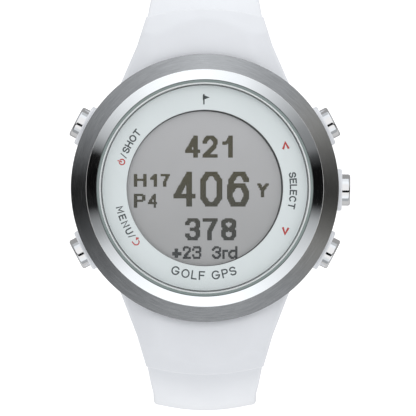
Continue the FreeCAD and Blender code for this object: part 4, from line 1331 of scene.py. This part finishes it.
class World(Shader):
    """The studio, made with the same calls as a material."""

    def __init__(self):
        self.adopt(bpy.data.worlds.new("studio"), "Background", "World Output")

    def wall(self, turn, levels):
        """A ramp round the horizon that closes on itself."""
        ramp = self.add("ShaderNodeValToRGB", {0: turn})
        stops = ramp.color_ramp.elements
        entries = list(levels.items()) + [(360, levels[0])]
        while len(stops) < len(entries):
            stops.new(0.5)
        for stop, (degrees, level) in zip(stops, entries):
            stop.position = degrees / 360
            stop.color = (level, level, level, 1)
        return ramp.outputs[0]


def mirrored_studio(world):
    """What metal sees: two bands of wall, a white ceiling, and a black strip along it for the buttons."""
    x, y, z = world.split(world.add("ShaderNodeTexCoord").outputs["Generated"])
    turn = world.math("FRACT", world.math("MULTIPLY", world.math("ARCTAN2", y, x), 1 / (2 * math.pi)))
    low_cast = world.mix(world.remap(x, 0.6, 0.85), COOL, WARM)
    low_wall = world.mix(1.0, world.wall(turn, LOWER_WALL), low_cast, "MULTIPLY")
    high_wall = world.mix(1.0, world.wall(turn, UPPER_WALL), COOL, "MULTIPLY")
    walls = world.mix(world.remap(z, 0.39, 0.44), low_wall, high_wall)
    sky = world.mix(world.remap(z, 0.62, 0.8), walls, (1, 1, 1))
    near_lean = world.math("COMPARE", world.math("DIVIDE", y, z), -0.2, 0.14)
    strip = world.math("MULTIPLY", near_lean, world.math("GREATER_THAN", z, 0.5))
    return world.mix(strip, sky, (0.004, 0.004, 0.005))


def make_world():
    """Even white light for matt surfaces, and the mirrored studio for polished ones."""
    world = World()
    rays = world.add("ShaderNodeLightPath")
    colour = world.mix(rays.outputs["Is Glossy Ray"], (0.86, 0.865, 0.88), mirrored_studio(world))
    world.fill(world.surface, {"Color": colour, "Strength": 1.0})
    bpy.context.scene.world = world.material
    world.material.cycles.sampling_method = "NONE"


def make_light(name, energy, size, place, target):
    """A soft rectangular light that only matt surfaces see. Its size, place and target are in metres."""
    light = bpy.data.lights.new(name, "AREA")
    light.energy = energy
    light.shape = "RECTANGLE"
    light.size, light.size_y = size
    lamp = bpy.data.objects.new(name, light)
    bpy.context.scene.collection.objects.link(lamp)
    lamp.location = place
    lamp.rotation_euler = (Vector(target) - lamp.location).to_track_quat("-Z", "Y").to_euler()
    lamp.visible_glossy = False
    lamp.visible_camera = False


def make_camera():
    """Straight down on the dial, as in the photograph."""
    distance, view_width = 1500.0, 71.35
    aim_x, aim_y = 0.54, -3.44
    data = bpy.data.cameras.new("camera")
    data.lens = data.sensor_width * distance / view_width
    data.clip_start, data.clip_end = 0.05, 50
    camera = bpy.data.objects.new("camera", data)
    camera.location = Vector((aim_x, aim_y, BEZEL_EDGE_Z + distance)) * MM
    bpy.context.scene.collection.objects.link(camera)
    bpy.context.scene.camera = camera


def main():
    """Makes the camera, the watch from the dial outwards, and the studio."""
    make_camera()
    make_bezel()
    make_gasket()
    make_crystal()
    make_mid_case()
    make_dial_ring()
    make_labels()
    make_marks()
    make_lcd()
    make_digits()
    for name, degrees in BUTTONS.items():
        make_button(name, degrees)
        make_spring(name, degrees)
    make_case_back()
    make_screws()
    make_contacts()
    make_upper_strap()
    make_lower_strap()
    keeper("keeper_fixed", "strap_upper", "fixed_keeper", low=4.0, high=8.0, side_gap=0.0, top_gap=0.0)
    keeper("keeper_free", "free_keeper", "free_keeper", low=9.6, high=13.2, side_gap=0.25, top_gap=0.2)
    make_buckle()
    make_tongue()
    make_spring_bar("bar_12", "spring_bar_12", PIN_U)
    make_spring_bar("bar_6", "spring_bar_6", -PIN_U)
    finish_carried()
    make_floor()
    make_world()
    make_light("key", 0.07, (0.1, 0.1), (0.05, 0.1, 0.22), (0, 0, 0))
    make_light("rim_12", 0.016, (0.14, 0.03), (0, 0.088, -0.005), (0, 0.034, 0))
    make_light("rim_6", 0.016, (0.14, 0.03), (0, -0.088, -0.025), (0, -0.034, 0))
    bpy.context.scene.view_settings.view_transform = "Standard"


main()
